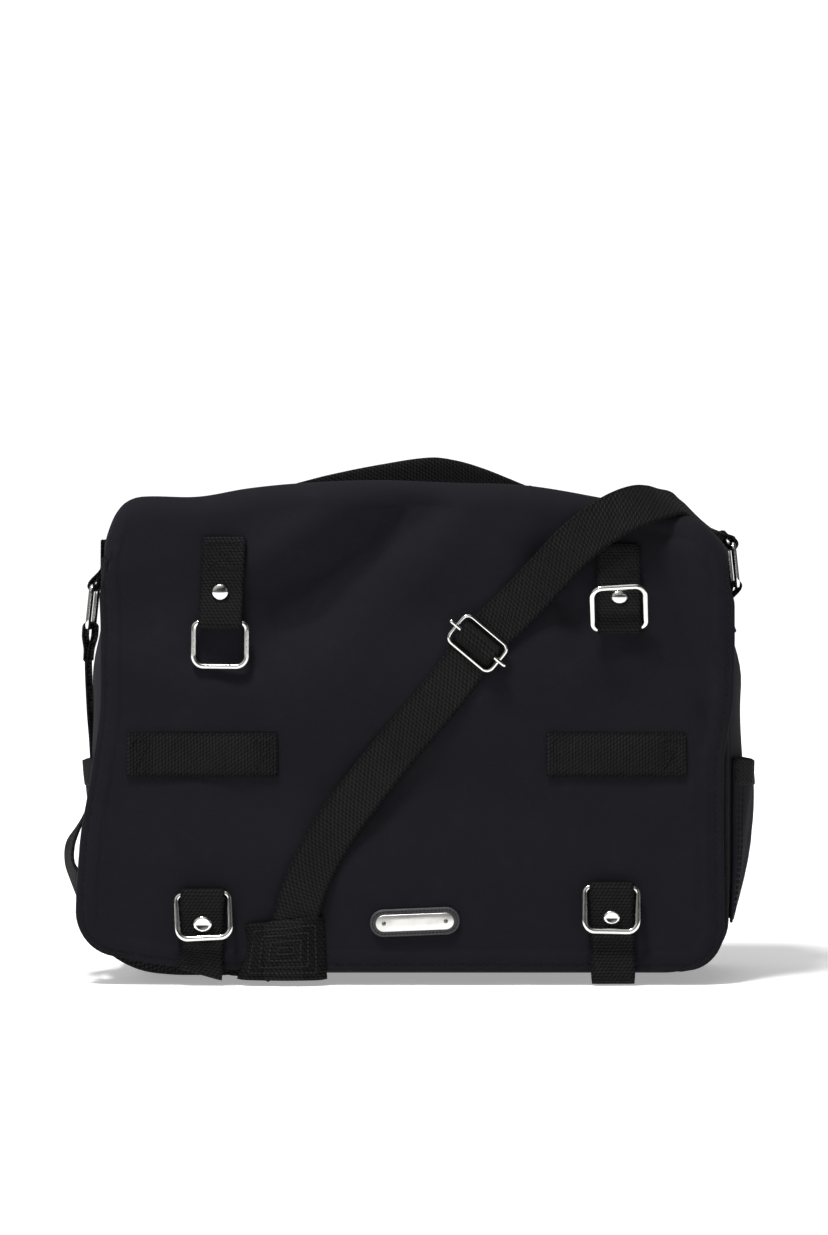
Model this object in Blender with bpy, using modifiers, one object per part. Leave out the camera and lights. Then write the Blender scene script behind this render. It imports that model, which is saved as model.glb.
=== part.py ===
"""Messenger bag with a front flap, shoulder strap, rings and tabs: one solid per sewn or fitted piece.

Metres, +Z up. The bag stands on z = 0, its front faces -Y and x = 0 is its middle.
"""

import math

import bmesh
import bpy
from mathutils import Matrix, Vector

# Bag body
HALF_WIDTH = 0.190
FRONT_Y = -0.050
BACK_Y = 0.050
WALL = 0.003
CORNER_RADIUS = 0.035
FRONT_PANEL_TOP = 0.280
BACK_PANEL_TOP = 0.284
GUSSET_TOP = 0.276
PIPING_RADIUS = 0.0028
GAP = 0.0003
PIPING_INSET = PIPING_RADIUS + GAP
PANEL_INSET = 2 * PIPING_INSET
GUSSET_HALF_DEPTH = 0.0441
CORNER_STEPS = 6

# Inner pocket and side pockets
INNER_POCKET = ((-0.120, 0.0435, 0.090), (0.120, 0.0467, 0.240))
SIDE_POCKET_DEPTH = 0.0100
SIDE_POCKET_WALL = 0.0016
SIDE_POCKET_BOTTOM = 0.036
SIDE_POCKET_TOP = 0.134
SIDE_POCKET_HALF = 0.040
POCKET_TRIM_HEIGHT = 0.014
POCKET_TRIM_THICKNESS = 0.0014

# Flap: it leaves the hinge line, crosses the top and hangs down the front
HINGE_Y = 0.0535
HINGE_Z = 0.2880
FLAP_THICKNESS = 0.0024
FLAP_FRONT_Y = -0.060
FLAP_TOP_Z = 0.3000
FLAP_BOTTOM_Z = 0.009
FLAP_HALF_WIDTH = 0.193
FLAP_CORNER = 0.032
RIDGE_RADIUS = 0.014
CROWN_DROP = 0.0075
CROWN_START = 0.100
CROWN_FADE = 0.030
REAR_FALL_Y = 0.034
ARC_CENTRE_Y = FLAP_FRONT_Y + FLAP_THICKNESS / 2 + RIDGE_RADIUS
ARC_CENTRE_Z = FLAP_TOP_Z - FLAP_THICKNESS / 2 - RIDGE_RADIUS
ARC_OUTER = RIDGE_RADIUS + FLAP_THICKNESS / 2
ARC_LENGTH = ARC_OUTER * math.pi / 2
FLAP_COLUMNS = 18
FLAP_SKIN = FLAP_FRONT_Y - GAP

# Webbing tabs and rings
WEB = 0.0014
TAB_WIDTH = 0.025
WIRE_RADIUS = 0.00165
RING_SPAN = 0.026
RING_HALF_WIDTH = 0.01635
RING_CORNER = 0.0038
FOLD_RADIUS = WIRE_RADIUS + GAP + WEB
TAB_BAR_Y = FLAP_SKIN - FOLD_RADIUS
TAB_LAYERS = 2 * WEB + GAP
RIVET_RADIUS = 0.0050
RIVET_HEIGHT = 0.0022
RIVET_FROM_BAR = 0.0185

UPPER_LEFT = {"x": -0.1165, "bar_z": 0.2172, "end_z": 0.2680}
UPPER_RIGHT = {"x": 0.1225, "bar_z": 0.2142, "end_z": 0.2640}
LOWER_LEFT = {"x": -0.1270, "bar_z": 0.0547, "end_z": 0.0035}
LOWER_RIGHT = {"x": 0.1178, "bar_z": 0.0587, "end_z": 0.0015}
UPPER_RIGHT_LEAN = math.radians(22)
LOWER_RING_LEAN = math.radians(8)
STUD_RADIUS_LEFT = 0.0060
STUD_RADIUS_RIGHT = 0.0053
STUD_FROM_BAR = 0.0177

# Snap fasteners behind the two lower studs
SNAP_RADIUS = 0.0038
SNAP_DEPTH = 0.0030

# Lash strips and badge
LASH_LEFT = (-0.172, -0.083, 0.1255, 0.1505)
LASH_RIGHT = (0.080, 0.162, 0.1255, 0.1505)
BADGE_CENTRE_Z = 0.038
BADGE_TILT = math.radians(2.3)
BADGE_LENGTH = 0.054
BADGE_HEIGHT = 0.0165
BADGE_THICKNESS = 0.0024
PLATE_LENGTH = 0.047
PLATE_HEIGHT = 0.010
PLATE_THICKNESS = 0.0010
PIN_OFFSET = 0.0186
PIN_RADIUS = 0.0013
PIN_HEIGHT = 0.0007

# Handle on the rear of the flap's top
HANDLE_Y = 0.022
HANDLE_END_X = 0.074
HANDLE_PIVOT_Z = 0.3042
HANDLE_END_LOW_Z = 0.3021
HANDLE_END_HEIGHT = 0.0042
HANDLE_MIDDLE_LOW_Z = 0.3064
HANDLE_MIDDLE_HEIGHT = 0.0150
HANDLE_THICKNESS = 0.0050
ANCHOR_WIDTH = 0.025
ANCHOR_LENGTH = 0.030
ANCHOR_FROM_HANDLE = 0.0040

# Shoulder strap
STRAP_WIDTH = 0.025
STRAP_THICKNESS = 0.0018
STRAP_Y = FLAP_SKIN - STRAP_THICKNESS / 2
PATCH = (-0.105, -0.051, 0.0110, 0.0360)
PATCH_THICKNESS = 0.0036

RISE_X = 0.1957
RISE_Y = -0.0012
RISE_LOW_Z = 0.2818
RISE_TOP_Z = 0.2944

# Slider on the strap
SLIDER_CENTRE = (0.0375, 0.2050)
SLIDER_ALONG = math.radians(50)
SLIDER_HALF_ACROSS = 0.0163
SLIDER_HALF_ALONG = 0.0098
SLIDER_WIRE = 0.0012
SLIDER_BAR_HALF = 0.0215

# Side tabs and rings
SIDE_TAB_WIDTH = 0.025
SIDE_TAB_LENGTH = 0.028
SIDE_TAB_STANDOFF = 0.0048
SIDE_TAB_LEAVES = 0.020
SIDE_BAR_Z = 0.2400
SIDE_SKIN = HALF_WIDTH + GAP
SIDE_BAR_X = SIDE_SKIN + SIDE_TAB_STANDOFF + FOLD_RADIUS
SIDE_RING_LEAN_LEFT = math.radians(6)
SIDE_RING_LEAN_RIGHT = math.radians(-6)
SIDE_RING_WIDTH = RING_HALF_WIDTH + 0.0002
STRAP_FOLD = WIRE_RADIUS + GAP + STRAP_THICKNESS

# Finishes: base colour, roughness, metallic
CANVAS = ((0.013, 0.0125, 0.016), 0.92, 0.0)
WEBBING = ((0.010, 0.010, 0.010), 0.80, 0.0)
LINING = ((0.030, 0.030, 0.033), 0.90, 0.0)
LEATHER = ((0.038, 0.038, 0.040), 0.60, 0.0)
NICKEL = ((0.70, 0.69, 0.66), 0.18, 1.0)
SILVER = ((0.82, 0.80, 0.76), 0.30, 1.0)


def clear_scene():
    for obj in list(bpy.data.objects):
        bpy.data.objects.remove(obj, do_unlink=True)
    for collection in list(bpy.data.collections):
        bpy.data.collections.remove(collection)


def finish_object(obj, finish):
    """Gives the object its own material and its own collection."""
    colour, roughness, metallic = finish
    material = bpy.data.materials.new(obj.name + "_finish")
    material.use_nodes = True
    shader = material.node_tree.nodes["Principled BSDF"]
    shader.inputs["Base Color"].default_value = (*colour, 1.0)
    shader.inputs["Roughness"].default_value = roughness
    shader.inputs["Metallic"].default_value = metallic
    obj.data.materials.clear()
    obj.data.materials.append(material)
    home = bpy.data.collections.new(obj.name)
    bpy.context.scene.collection.children.link(home)
    home.objects.link(obj)
    return obj


def mesh_object(name, vertices, faces, finish):
    mesh = bpy.data.meshes.new(name)
    mesh.from_pydata([tuple(v) for v in vertices], [], faces)
    shape = bmesh.new()
    shape.from_mesh(mesh)
    bmesh.ops.recalc_face_normals(shape, faces=shape.faces)
    shape.to_mesh(mesh)
    shape.free()
    return finish_object(bpy.data.objects.new(name, mesh), finish)


def block(name, low, high, finish):
    """A box between two corners."""
    xs, ys, zs = zip(low, high)
    corners = [(x, y, z) for x in xs for y in ys for z in zs]
    faces = [(0, 1, 3, 2), (4, 6, 7, 5), (0, 4, 5, 1), (2, 3, 7, 6), (0, 2, 6, 4), (1, 5, 7, 3)]
    return mesh_object(name, corners, faces, finish)


def rod(name, start, end, radius, sides, finish):
    """A round bar or disc between two points."""
    axis = Vector(end) - Vector(start)
    turn = axis.to_track_quat("Z", "Y")
    middle = (Vector(start) + Vector(end)) / 2
    shape = bmesh.new()
    bmesh.ops.create_cone(
        shape, cap_ends=True, segments=sides, radius1=radius, radius2=radius, depth=axis.length
    )
    mesh = bpy.data.meshes.new(name)
    shape.to_mesh(mesh)
    shape.free()
    mesh.transform(turn.to_matrix().to_4x4())
    mesh.transform(Matrix.Translation(middle))
    return finish_object(bpy.data.objects.new(name, mesh), finish)


def wire(name, points, radius, closed, finish):
    """A round wire along straight stretches between points."""
    curve = bpy.data.curves.new(name, "CURVE")
    curve.dimensions = "3D"
    curve.bevel_depth = radius
    curve.bevel_resolution = 2
    curve.use_fill_caps = True
    spline = curve.splines.new("POLY")
    spline.points.add(len(points) - 1)
    for target, point in zip(spline.points, points):
        target.co = (*point, 1.0)
    spline.use_cyclic_u = closed
    return finish_object(bpy.data.objects.new(name, curve), finish)


def slab(name, outlines, depth, finish, matrix):
    """A flat outline, with holes if there is more than one loop, extruded both ways by half the depth."""
    curve = bpy.data.curves.new(name, "CURVE")
    curve.dimensions = "2D"
    curve.fill_mode = "BOTH"
    curve.extrude = depth / 2
    for outline in outlines:
        spline = curve.splines.new("POLY")
        spline.points.add(len(outline) - 1)
        for target, (u, v) in zip(spline.points, outline):
            target.co = (u, v, 0.0, 1.0)
        spline.use_cyclic_u = True
    obj = finish_object(bpy.data.objects.new(name, curve), finish)
    obj.matrix_world = matrix
    return obj


def ribbon(name, path, width, thickness, finish):
    """A flat band swept along (point, width direction) pairs, turning with the width direction."""
    points = [Vector(point) for point, _ in path]
    vertices = []
    for index, (_, across) in enumerate(path):
        before = points[max(index - 1, 0)]
        after = points[min(index + 1, len(points) - 1)]
        along = (after - before).normalized()
        side = Vector(across)
        side = (side - side.dot(along) * along).normalized()
        normal = along.cross(side)
        for u, v in ((-1, -1), (1, -1), (1, 1), (-1, 1)):
            vertices.append(points[index] + side * (u * width / 2) + normal * (v * thickness / 2))
    faces = []
    for index in range(len(points) - 1):
        first = 4 * index
        for k in range(4):
            n = (k + 1) % 4
            faces.append((first + k, first + n, first + 4 + n, first + 4 + k))
    faces.append((0, 1, 2, 3))
    last = 4 * (len(points) - 1)
    faces.append((last, last + 3, last + 2, last + 1))
    return mesh_object(name, vertices, faces, finish)


def smooth_path(stations, steps):
    """Points between the stations on a Catmull-Rom curve, each with its blended width direction.

    The first and the last stretch are straight, so that the band's ends are square.
    """
    points = [Vector(p) for p, _ in stations]
    sides = [Vector(s) for _, s in stations]
    found = []
    for i in range(len(points) - 1):
        p0 = points[max(i - 1, 0)]
        p1 = points[i]
        p2 = points[i + 1]
        p3 = points[min(i + 2, len(points) - 1)]
        straight = i in (0, len(points) - 2)
        for step in range(1 if straight else steps):
            t = step / steps
            point = 0.5 * (
                2 * p1
                + (p2 - p0) * t
                + (2 * p0 - 5 * p1 + 4 * p2 - p3) * t**2
                + (3 * p1 - p0 - 3 * p2 + p3) * t**3
            )
            found.append((point, sides[i].lerp(sides[i + 1], t)))
    found.append((points[-1], sides[-1]))
    return found


def u_outline(inset, top):
    """The bag's outline from the front, open at the top: down the left, round the bottom, up the right."""
    half = HALF_WIDTH - inset
    radius = CORNER_RADIUS - inset
    centre_x = HALF_WIDTH - CORNER_RADIUS
    points = [(-half, top)]
    for step in range(CORNER_STEPS + 1):
        angle = math.pi + step * math.pi / 2 / CORNER_STEPS
        points.append((-centre_x + radius * math.cos(angle), CORNER_RADIUS + radius * math.sin(angle)))
    for step in range(CORNER_STEPS + 1):
        angle = 1.5 * math.pi + step * math.pi / 2 / CORNER_STEPS
        points.append((centre_x + radius * math.cos(angle), CORNER_RADIUS + radius * math.sin(angle)))
    points.append((half, top))
    return points


def front_matrix(y):
    """Stands a flat outline (u, v) up as (x, z) at depth y."""
    return Matrix.Translation((0, y, 0)) @ Matrix.Rotation(math.pi / 2, 4, "X")


def side_matrix(x):
    """Stands a flat outline (u, v) up as (y, z) at place x."""
    return Matrix.Translation((x, 0, 0)) @ Matrix(
        ((0, 0, 1, 0), (1, 0, 0, 0), (0, 1, 0, 0), (0, 0, 0, 1))
    )


def build_body():
    middle = WALL / 2
    front = u_outline(PANEL_INSET, FRONT_PANEL_TOP)
    back = u_outline(PANEL_INSET, BACK_PANEL_TOP)
    slab("front_panel", [front], WALL, CANVAS, front_matrix(FRONT_Y + middle))
    slab("back_panel", [back], WALL, CANVAS, front_matrix(BACK_Y - middle))
    for name, side in (("front", FRONT_Y), ("back", BACK_Y)):
        top = FRONT_PANEL_TOP if name == "front" else BACK_PANEL_TOP
        y = math.copysign(abs(side) - PIPING_RADIUS, side)
        path = [(x, y, z) for x, z in u_outline(PIPING_INSET, top)]
        wire(name + "_piping", path, PIPING_RADIUS, False, WEBBING)
    depth = 2 * GUSSET_HALF_DEPTH
    outer = u_outline(0, CORNER_RADIUS)
    inner = u_outline(WALL, CORNER_RADIUS)
    slab("bottom_panel", [outer[1:-1] + inner[-2:0:-1]], depth, CANVAS, front_matrix(0))
    for name, side in (("gusset_left", -1), ("gusset_right", 1)):
        xs = sorted((side * HALF_WIDTH, side * (HALF_WIDTH - WALL)))
        low = (xs[0], -GUSSET_HALF_DEPTH, CORNER_RADIUS + GAP)
        high = (xs[1], GUSSET_HALF_DEPTH, GUSSET_TOP)
        block(name, low, high, CANVAS)


def build_pockets():
    block("inner_pocket", *INNER_POCKET, LINING)
    for name, side in (("left", -1), ("right", 1)):
        skin = HALF_WIDTH + GAP
        outer = skin + SIDE_POCKET_DEPTH
        inside = outer - SIDE_POCKET_WALL
        half = SIDE_POCKET_HALF
        inner = half - SIDE_POCKET_WALL
        outline = [(skin, -half), (outer, -half), (outer, half), (skin, half)]
        outline += [(skin, inner), (inside, inner), (inside, -inner), (skin, -inner)]
        vertices = []
        for z in (SIDE_POCKET_BOTTOM, SIDE_POCKET_TOP):
            vertices += [(side * x, y, z) for x, y in outline]
        count = len(outline)
        faces = [tuple(range(count)), tuple(range(count, 2 * count))]
        faces += [(k, (k + 1) % count, count + (k + 1) % count, count + k) for k in range(count)]
        block_name = "side_pocket_" + name
        mesh_object(block_name, vertices, faces, CANVAS)
        floor_x = sorted((side * skin, side * (inside - GAP)))
        floor_low = (floor_x[0], -inner + GAP, SIDE_POCKET_BOTTOM)
        floor_high = (floor_x[1], inner - GAP, SIDE_POCKET_BOTTOM + SIDE_POCKET_WALL)
        block("side_pocket_floor_" + name, floor_low, floor_high, CANVAS)
        trim_x = sorted((side * (outer + GAP), side * (outer + GAP + POCKET_TRIM_THICKNESS)))
        trim_low = (trim_x[0], -half, SIDE_POCKET_TOP - POCKET_TRIM_HEIGHT)
        trim_high = (trim_x[1], half, SIDE_POCKET_TOP)
        block("side_pocket_trim_" + name, trim_low, trim_high, WEBBING)


def crown_drop(x):
    """How far the flap's top sinks towards its two ends."""
    beyond = max(abs(x) - CROWN_START, 0.0) / (FLAP_HALF_WIDTH - CROWN_START)
    return CROWN_DROP * beyond**2


def flap_point(x, run, lift):
    """A point above the flap's outer face.

    run is the way down the front from where the ridge's bend ends, and is negative on the bend and
    the top. lift is the distance out from the face.
    """
    if run >= 0:
        crown = 0.5 * max(1 - run / CROWN_FADE, 0.0)
        return Vector((x, FLAP_FRONT_Y - lift, ARC_CENTRE_Z - run - crown * crown_drop(x)))
    if run > -ARC_LENGTH:
        angle = -run / ARC_OUTER
        y = ARC_CENTRE_Y - (ARC_OUTER + lift) * math.cos(angle)
        z = ARC_CENTRE_Z + (ARC_OUTER + lift) * math.sin(angle)
        return Vector((x, y, z - (0.5 + 0.5 * math.sin(angle)) * crown_drop(x)))
    y = ARC_CENTRE_Y - run - ARC_LENGTH
    rear = max(y - REAR_FALL_Y, 0.0) / (HINGE_Y - REAR_FALL_Y)
    fall = rear**1.5 * (FLAP_TOP_Z - FLAP_THICKNESS / 2 - HINGE_Z)
    return Vector((x, y, FLAP_TOP_Z + lift - fall - (1 - rear) * crown_drop(x)))


def run_at_height(z):
    return ARC_CENTRE_Z - z


def run_at_depth(y):
    return ARC_CENTRE_Y - ARC_LENGTH - y


def flap_runs():
    """The rows of the flap's mesh, from the hinge line to the lower edge."""
    runs = [run_at_depth(y) for y in (HINGE_Y, 0.048, 0.041, REAR_FALL_Y, 0.010, -0.020)]
    runs += [-ARC_LENGTH * (1 - step / 6) for step in range(7)]
    runs += [run_at_height(z) for z in (0.268, 0.240, 0.160, 0.080, FLAP_BOTTOM_Z + FLAP_CORNER)]
    for step in range(1, 7):
        angle = step * math.pi / 2 / 6
        runs.append(run_at_height(FLAP_BOTTOM_Z + FLAP_CORNER * (1 - math.sin(angle))))
    return runs


def flap_half_width(run):
    """Half the flap's width: it narrows round the two lower corners."""
    inward = FLAP_CORNER - (ARC_CENTRE_Z - run - FLAP_BOTTOM_Z)
    if inward <= 0:
        return FLAP_HALF_WIDTH
    return FLAP_HALF_WIDTH - FLAP_CORNER + math.sqrt(max(FLAP_CORNER**2 - inward**2, 0.0))


def sheet(name, rows, thickness, finish):
    """A sheet through rows of points, thickened to both sides."""
    wide = len(rows[0])
    vertices = [point for row in rows for point in row]
    faces = []
    for row in range(len(rows) - 1):
        for column in range(wide - 1):
            first = row * wide + column
            faces.append((first, first + 1, first + wide + 1, first + wide))
    obj = mesh_object(name, vertices, faces, finish)
    thick = obj.modifiers.new("thickness", "SOLIDIFY")
    thick.thickness = thickness
    thick.offset = 0.0
    thick.use_even_offset = True
    return obj


def build_flap():
    rows = []
    for run in flap_runs():
        half = flap_half_width(run)
        shares = [2 * column / FLAP_COLUMNS - 1 for column in range(FLAP_COLUMNS + 1)]
        rows.append([flap_point(half * share, run, -FLAP_THICKNESS / 2) for share in shares])
    sheet("flap", rows, FLAP_THICKNESS, CANVAS)


def draped_band(name, stations, width, thickness, finish):
    """A flat band lying on the flap, through (x, run, lift) stations on its centreline."""
    path = smooth_path([(station, (0, 0, 0)) for station in stations], 4)
    centres = [point for point, _ in path]
    rows = []
    for index, centre in enumerate(centres):
        before = centres[max(index - 1, 0)]
        after = centres[min(index + 1, len(centres) - 1)]
        along = Vector((after.x - before.x, after.y - before.y)).normalized()
        across = Vector((-along.y, along.x)) * (width / 2)
        shares = (-1.0, -0.5, 0.0, 0.5, 1.0)
        row = [flap_point(centre.x + across.x * s, centre.y + across.y * s, centre.z) for s in shares]
        rows.append(row)
    sheet(name, rows, thickness, finish)


def fold_outline(bar_u, bar_v, end_v, skin_u, out, standoff=0.0):
    """A webbing fold round a bar: the (u, v) loop round its section, and the bar's hole.

    u is the depth, v the height, and out is the sign of u away from the skin. With a standoff the fold
    leaves the skin before it reaches the bar.
    """
    up = 1 if end_v > bar_v else -1
    near_v = bar_v + up * 3.6 * FOLD_RADIUS
    leaves_v = bar_v + up * SIDE_TAB_LEAVES
    near_u = skin_u + out * (TAB_LAYERS + standoff * (1 - abs(near_v - bar_v) / SIDE_TAB_LEAVES))
    loop = [(skin_u, end_v)]
    if standoff:
        loop.append((skin_u, leaves_v))
    steps = 10
    for step in range(steps + 1):
        angle = math.pi * step / steps
        across = out * FOLD_RADIUS * math.cos(angle)
        loop.append((bar_u - across, bar_v - up * FOLD_RADIUS * math.sin(angle)))
    loop.append((near_u, near_v))
    if standoff:
        loop.append((skin_u + out * TAB_LAYERS, leaves_v))
    loop.append((skin_u + out * TAB_LAYERS, end_v))
    hole = []
    for step in range(16):
        angle = 2 * math.pi * step / 16
        radius = WIRE_RADIUS + GAP
        hole.append((bar_u + radius * math.cos(angle), bar_v + radius * math.sin(angle)))
    return [loop, hole]


def ring_points(centre, down, across, half_across):
    """Corner-rounded loop of wire, hung down from the centre of its bar."""
    down = Vector(down).normalized()
    across = Vector(across).normalized()
    centre = Vector(centre)
    corners = ((1, 0), (1, 1), (-1, 1), (-1, 0))
    points = []
    for index, (s, d) in enumerate(corners):
        corner = centre + across * (s * half_across) + down * (d * RING_SPAN)
        into = -across * s
        along = down if d == 0 else -down
        start, finish = (into, along) if index in (0, 2) else (along, into)
        for step in range(5):
            angle = math.pi / 2 * step / 4
            arm_a = start * RING_CORNER * (1 - math.sin(angle))
            arm_b = finish * RING_CORNER * (1 - math.cos(angle))
            points.append(corner + arm_a + arm_b)
    return points


def build_front_tab(name, place, ring_down, stud_radius, stud_offset):
    x = place["x"]
    bar_z = place["bar_z"]
    outlines = fold_outline(TAB_BAR_Y, bar_z, place["end_z"], FLAP_SKIN, -1)
    slab("tab_" + name, outlines, TAB_WIDTH, WEBBING, side_matrix(x))
    ring = ring_points((x, TAB_BAR_Y, bar_z), ring_down, (1, 0, 0), RING_HALF_WIDTH)
    wire("ring_" + name, ring, WIRE_RADIUS, True, NICKEL)
    stud_z = bar_z + stud_offset
    face = FLAP_SKIN - TAB_LAYERS - GAP
    kind = "rivet_" if stud_offset > 0 else "stud_"
    rod(kind + name, (x, face, stud_z), (x, face - RIVET_HEIGHT, stud_z), stud_radius, 24, NICKEL)
    return stud_z


def build_front_tabs():
    hang = (0, 0, -1)
    flipped = (0, -math.sin(UPPER_RIGHT_LEAN), math.cos(UPPER_RIGHT_LEAN))
    leaning = (0, -math.sin(LOWER_RING_LEAN), -math.cos(LOWER_RING_LEAN))
    build_front_tab("upper_left", UPPER_LEFT, hang, RIVET_RADIUS, RIVET_FROM_BAR)
    build_front_tab("upper_right", UPPER_RIGHT, flipped, RIVET_RADIUS, RIVET_FROM_BAR)
    for name, place, radius in (
        ("lower_left", LOWER_LEFT, STUD_RADIUS_LEFT),
        ("lower_right", LOWER_RIGHT, STUD_RADIUS_RIGHT),
    ):
        z = build_front_tab(name, place, leaning, radius, -STUD_FROM_BAR)
        x = place["x"]
        inside = FLAP_FRONT_Y + FLAP_THICKNESS + GAP
        bag_face = FRONT_Y - GAP
        rod("snap_socket_" + name, (x, inside, z), (x, inside + SNAP_DEPTH, z), SNAP_RADIUS, 20, NICKEL)
        rod("snap_stud_" + name, (x, bag_face, z), (x, bag_face - SNAP_DEPTH, z), SNAP_RADIUS, 20, NICKEL)


def build_lash_strips():
    for name, (x_low, x_high, z_low, z_high) in (("left", LASH_LEFT), ("right", LASH_RIGHT)):
        block("lash_strip_" + name, (x_low, FLAP_SKIN - WEB, z_low), (x_high, FLAP_SKIN, z_high), WEBBING)


def stadium(length, height):
    radius = height / 2
    straight = length / 2 - radius
    points = []
    for side, start in ((1, -math.pi / 2), (-1, math.pi / 2)):
        for step in range(13):
            angle = start + math.pi * step / 12
            points.append((side * straight + radius * math.cos(angle), radius * math.sin(angle)))
    return points


def build_badge():
    tilt = Matrix.Rotation(-BADGE_TILT, 4, "Y")
    back = FLAP_SKIN - BADGE_THICKNESS / 2
    face = FLAP_SKIN - BADGE_THICKNESS - GAP
    plate_y = face - PLATE_THICKNESS / 2
    raise_up = Matrix.Translation((0, 0, BADGE_CENTRE_Z))
    outline = stadium(BADGE_LENGTH, BADGE_HEIGHT)
    slab("badge_backing", [outline], BADGE_THICKNESS, LEATHER, raise_up @ tilt @ front_matrix(back))
    outline = stadium(PLATE_LENGTH, PLATE_HEIGHT)
    slab("badge_plate", [outline], PLATE_THICKNESS, SILVER, raise_up @ tilt @ front_matrix(plate_y))
    for name, side in (("left", -1), ("right", 1)):
        x = side * PIN_OFFSET * math.cos(BADGE_TILT)
        z = BADGE_CENTRE_Z + side * PIN_OFFSET * math.sin(BADGE_TILT)
        y = face - PLATE_THICKNESS - GAP
        rod("badge_pin_" + name, (x, y, z), (x, y - PIN_HEIGHT, z), PIN_RADIUS, 12, NICKEL)


def build_handle():
    """The handle is a stitched band on edge, tallest in its middle, with a flat anchor at each end."""
    steps = 16
    under = []
    over = []
    for step in range(steps + 1):
        share = 2 * step / steps - 1
        rise = 1 - share**2
        low = HANDLE_END_LOW_Z + (HANDLE_MIDDLE_LOW_Z - HANDLE_END_LOW_Z) * rise
        height = HANDLE_END_HEIGHT + (HANDLE_MIDDLE_HEIGHT - HANDLE_END_HEIGHT) * rise
        under.append((share * HANDLE_END_X, low))
        over.append((share * HANDLE_END_X, low + height))
    slab("handle", [under + over[::-1]], HANDLE_THICKNESS, WEBBING, front_matrix(HANDLE_Y))
    for name, side in (("left", -1), ("right", 1)):
        near = HANDLE_END_X + ANCHOR_FROM_HANDLE
        xs = sorted((side * near, side * (near + ANCHOR_LENGTH)))
        low = (xs[0], HANDLE_Y - ANCHOR_WIDTH / 2, FLAP_TOP_Z + GAP)
        high = (xs[1], HANDLE_Y + ANCHOR_WIDTH / 2, FLAP_TOP_Z + GAP + 2 * WEB)
        block("handle_anchor_" + name, low, high, WEBBING)


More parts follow.
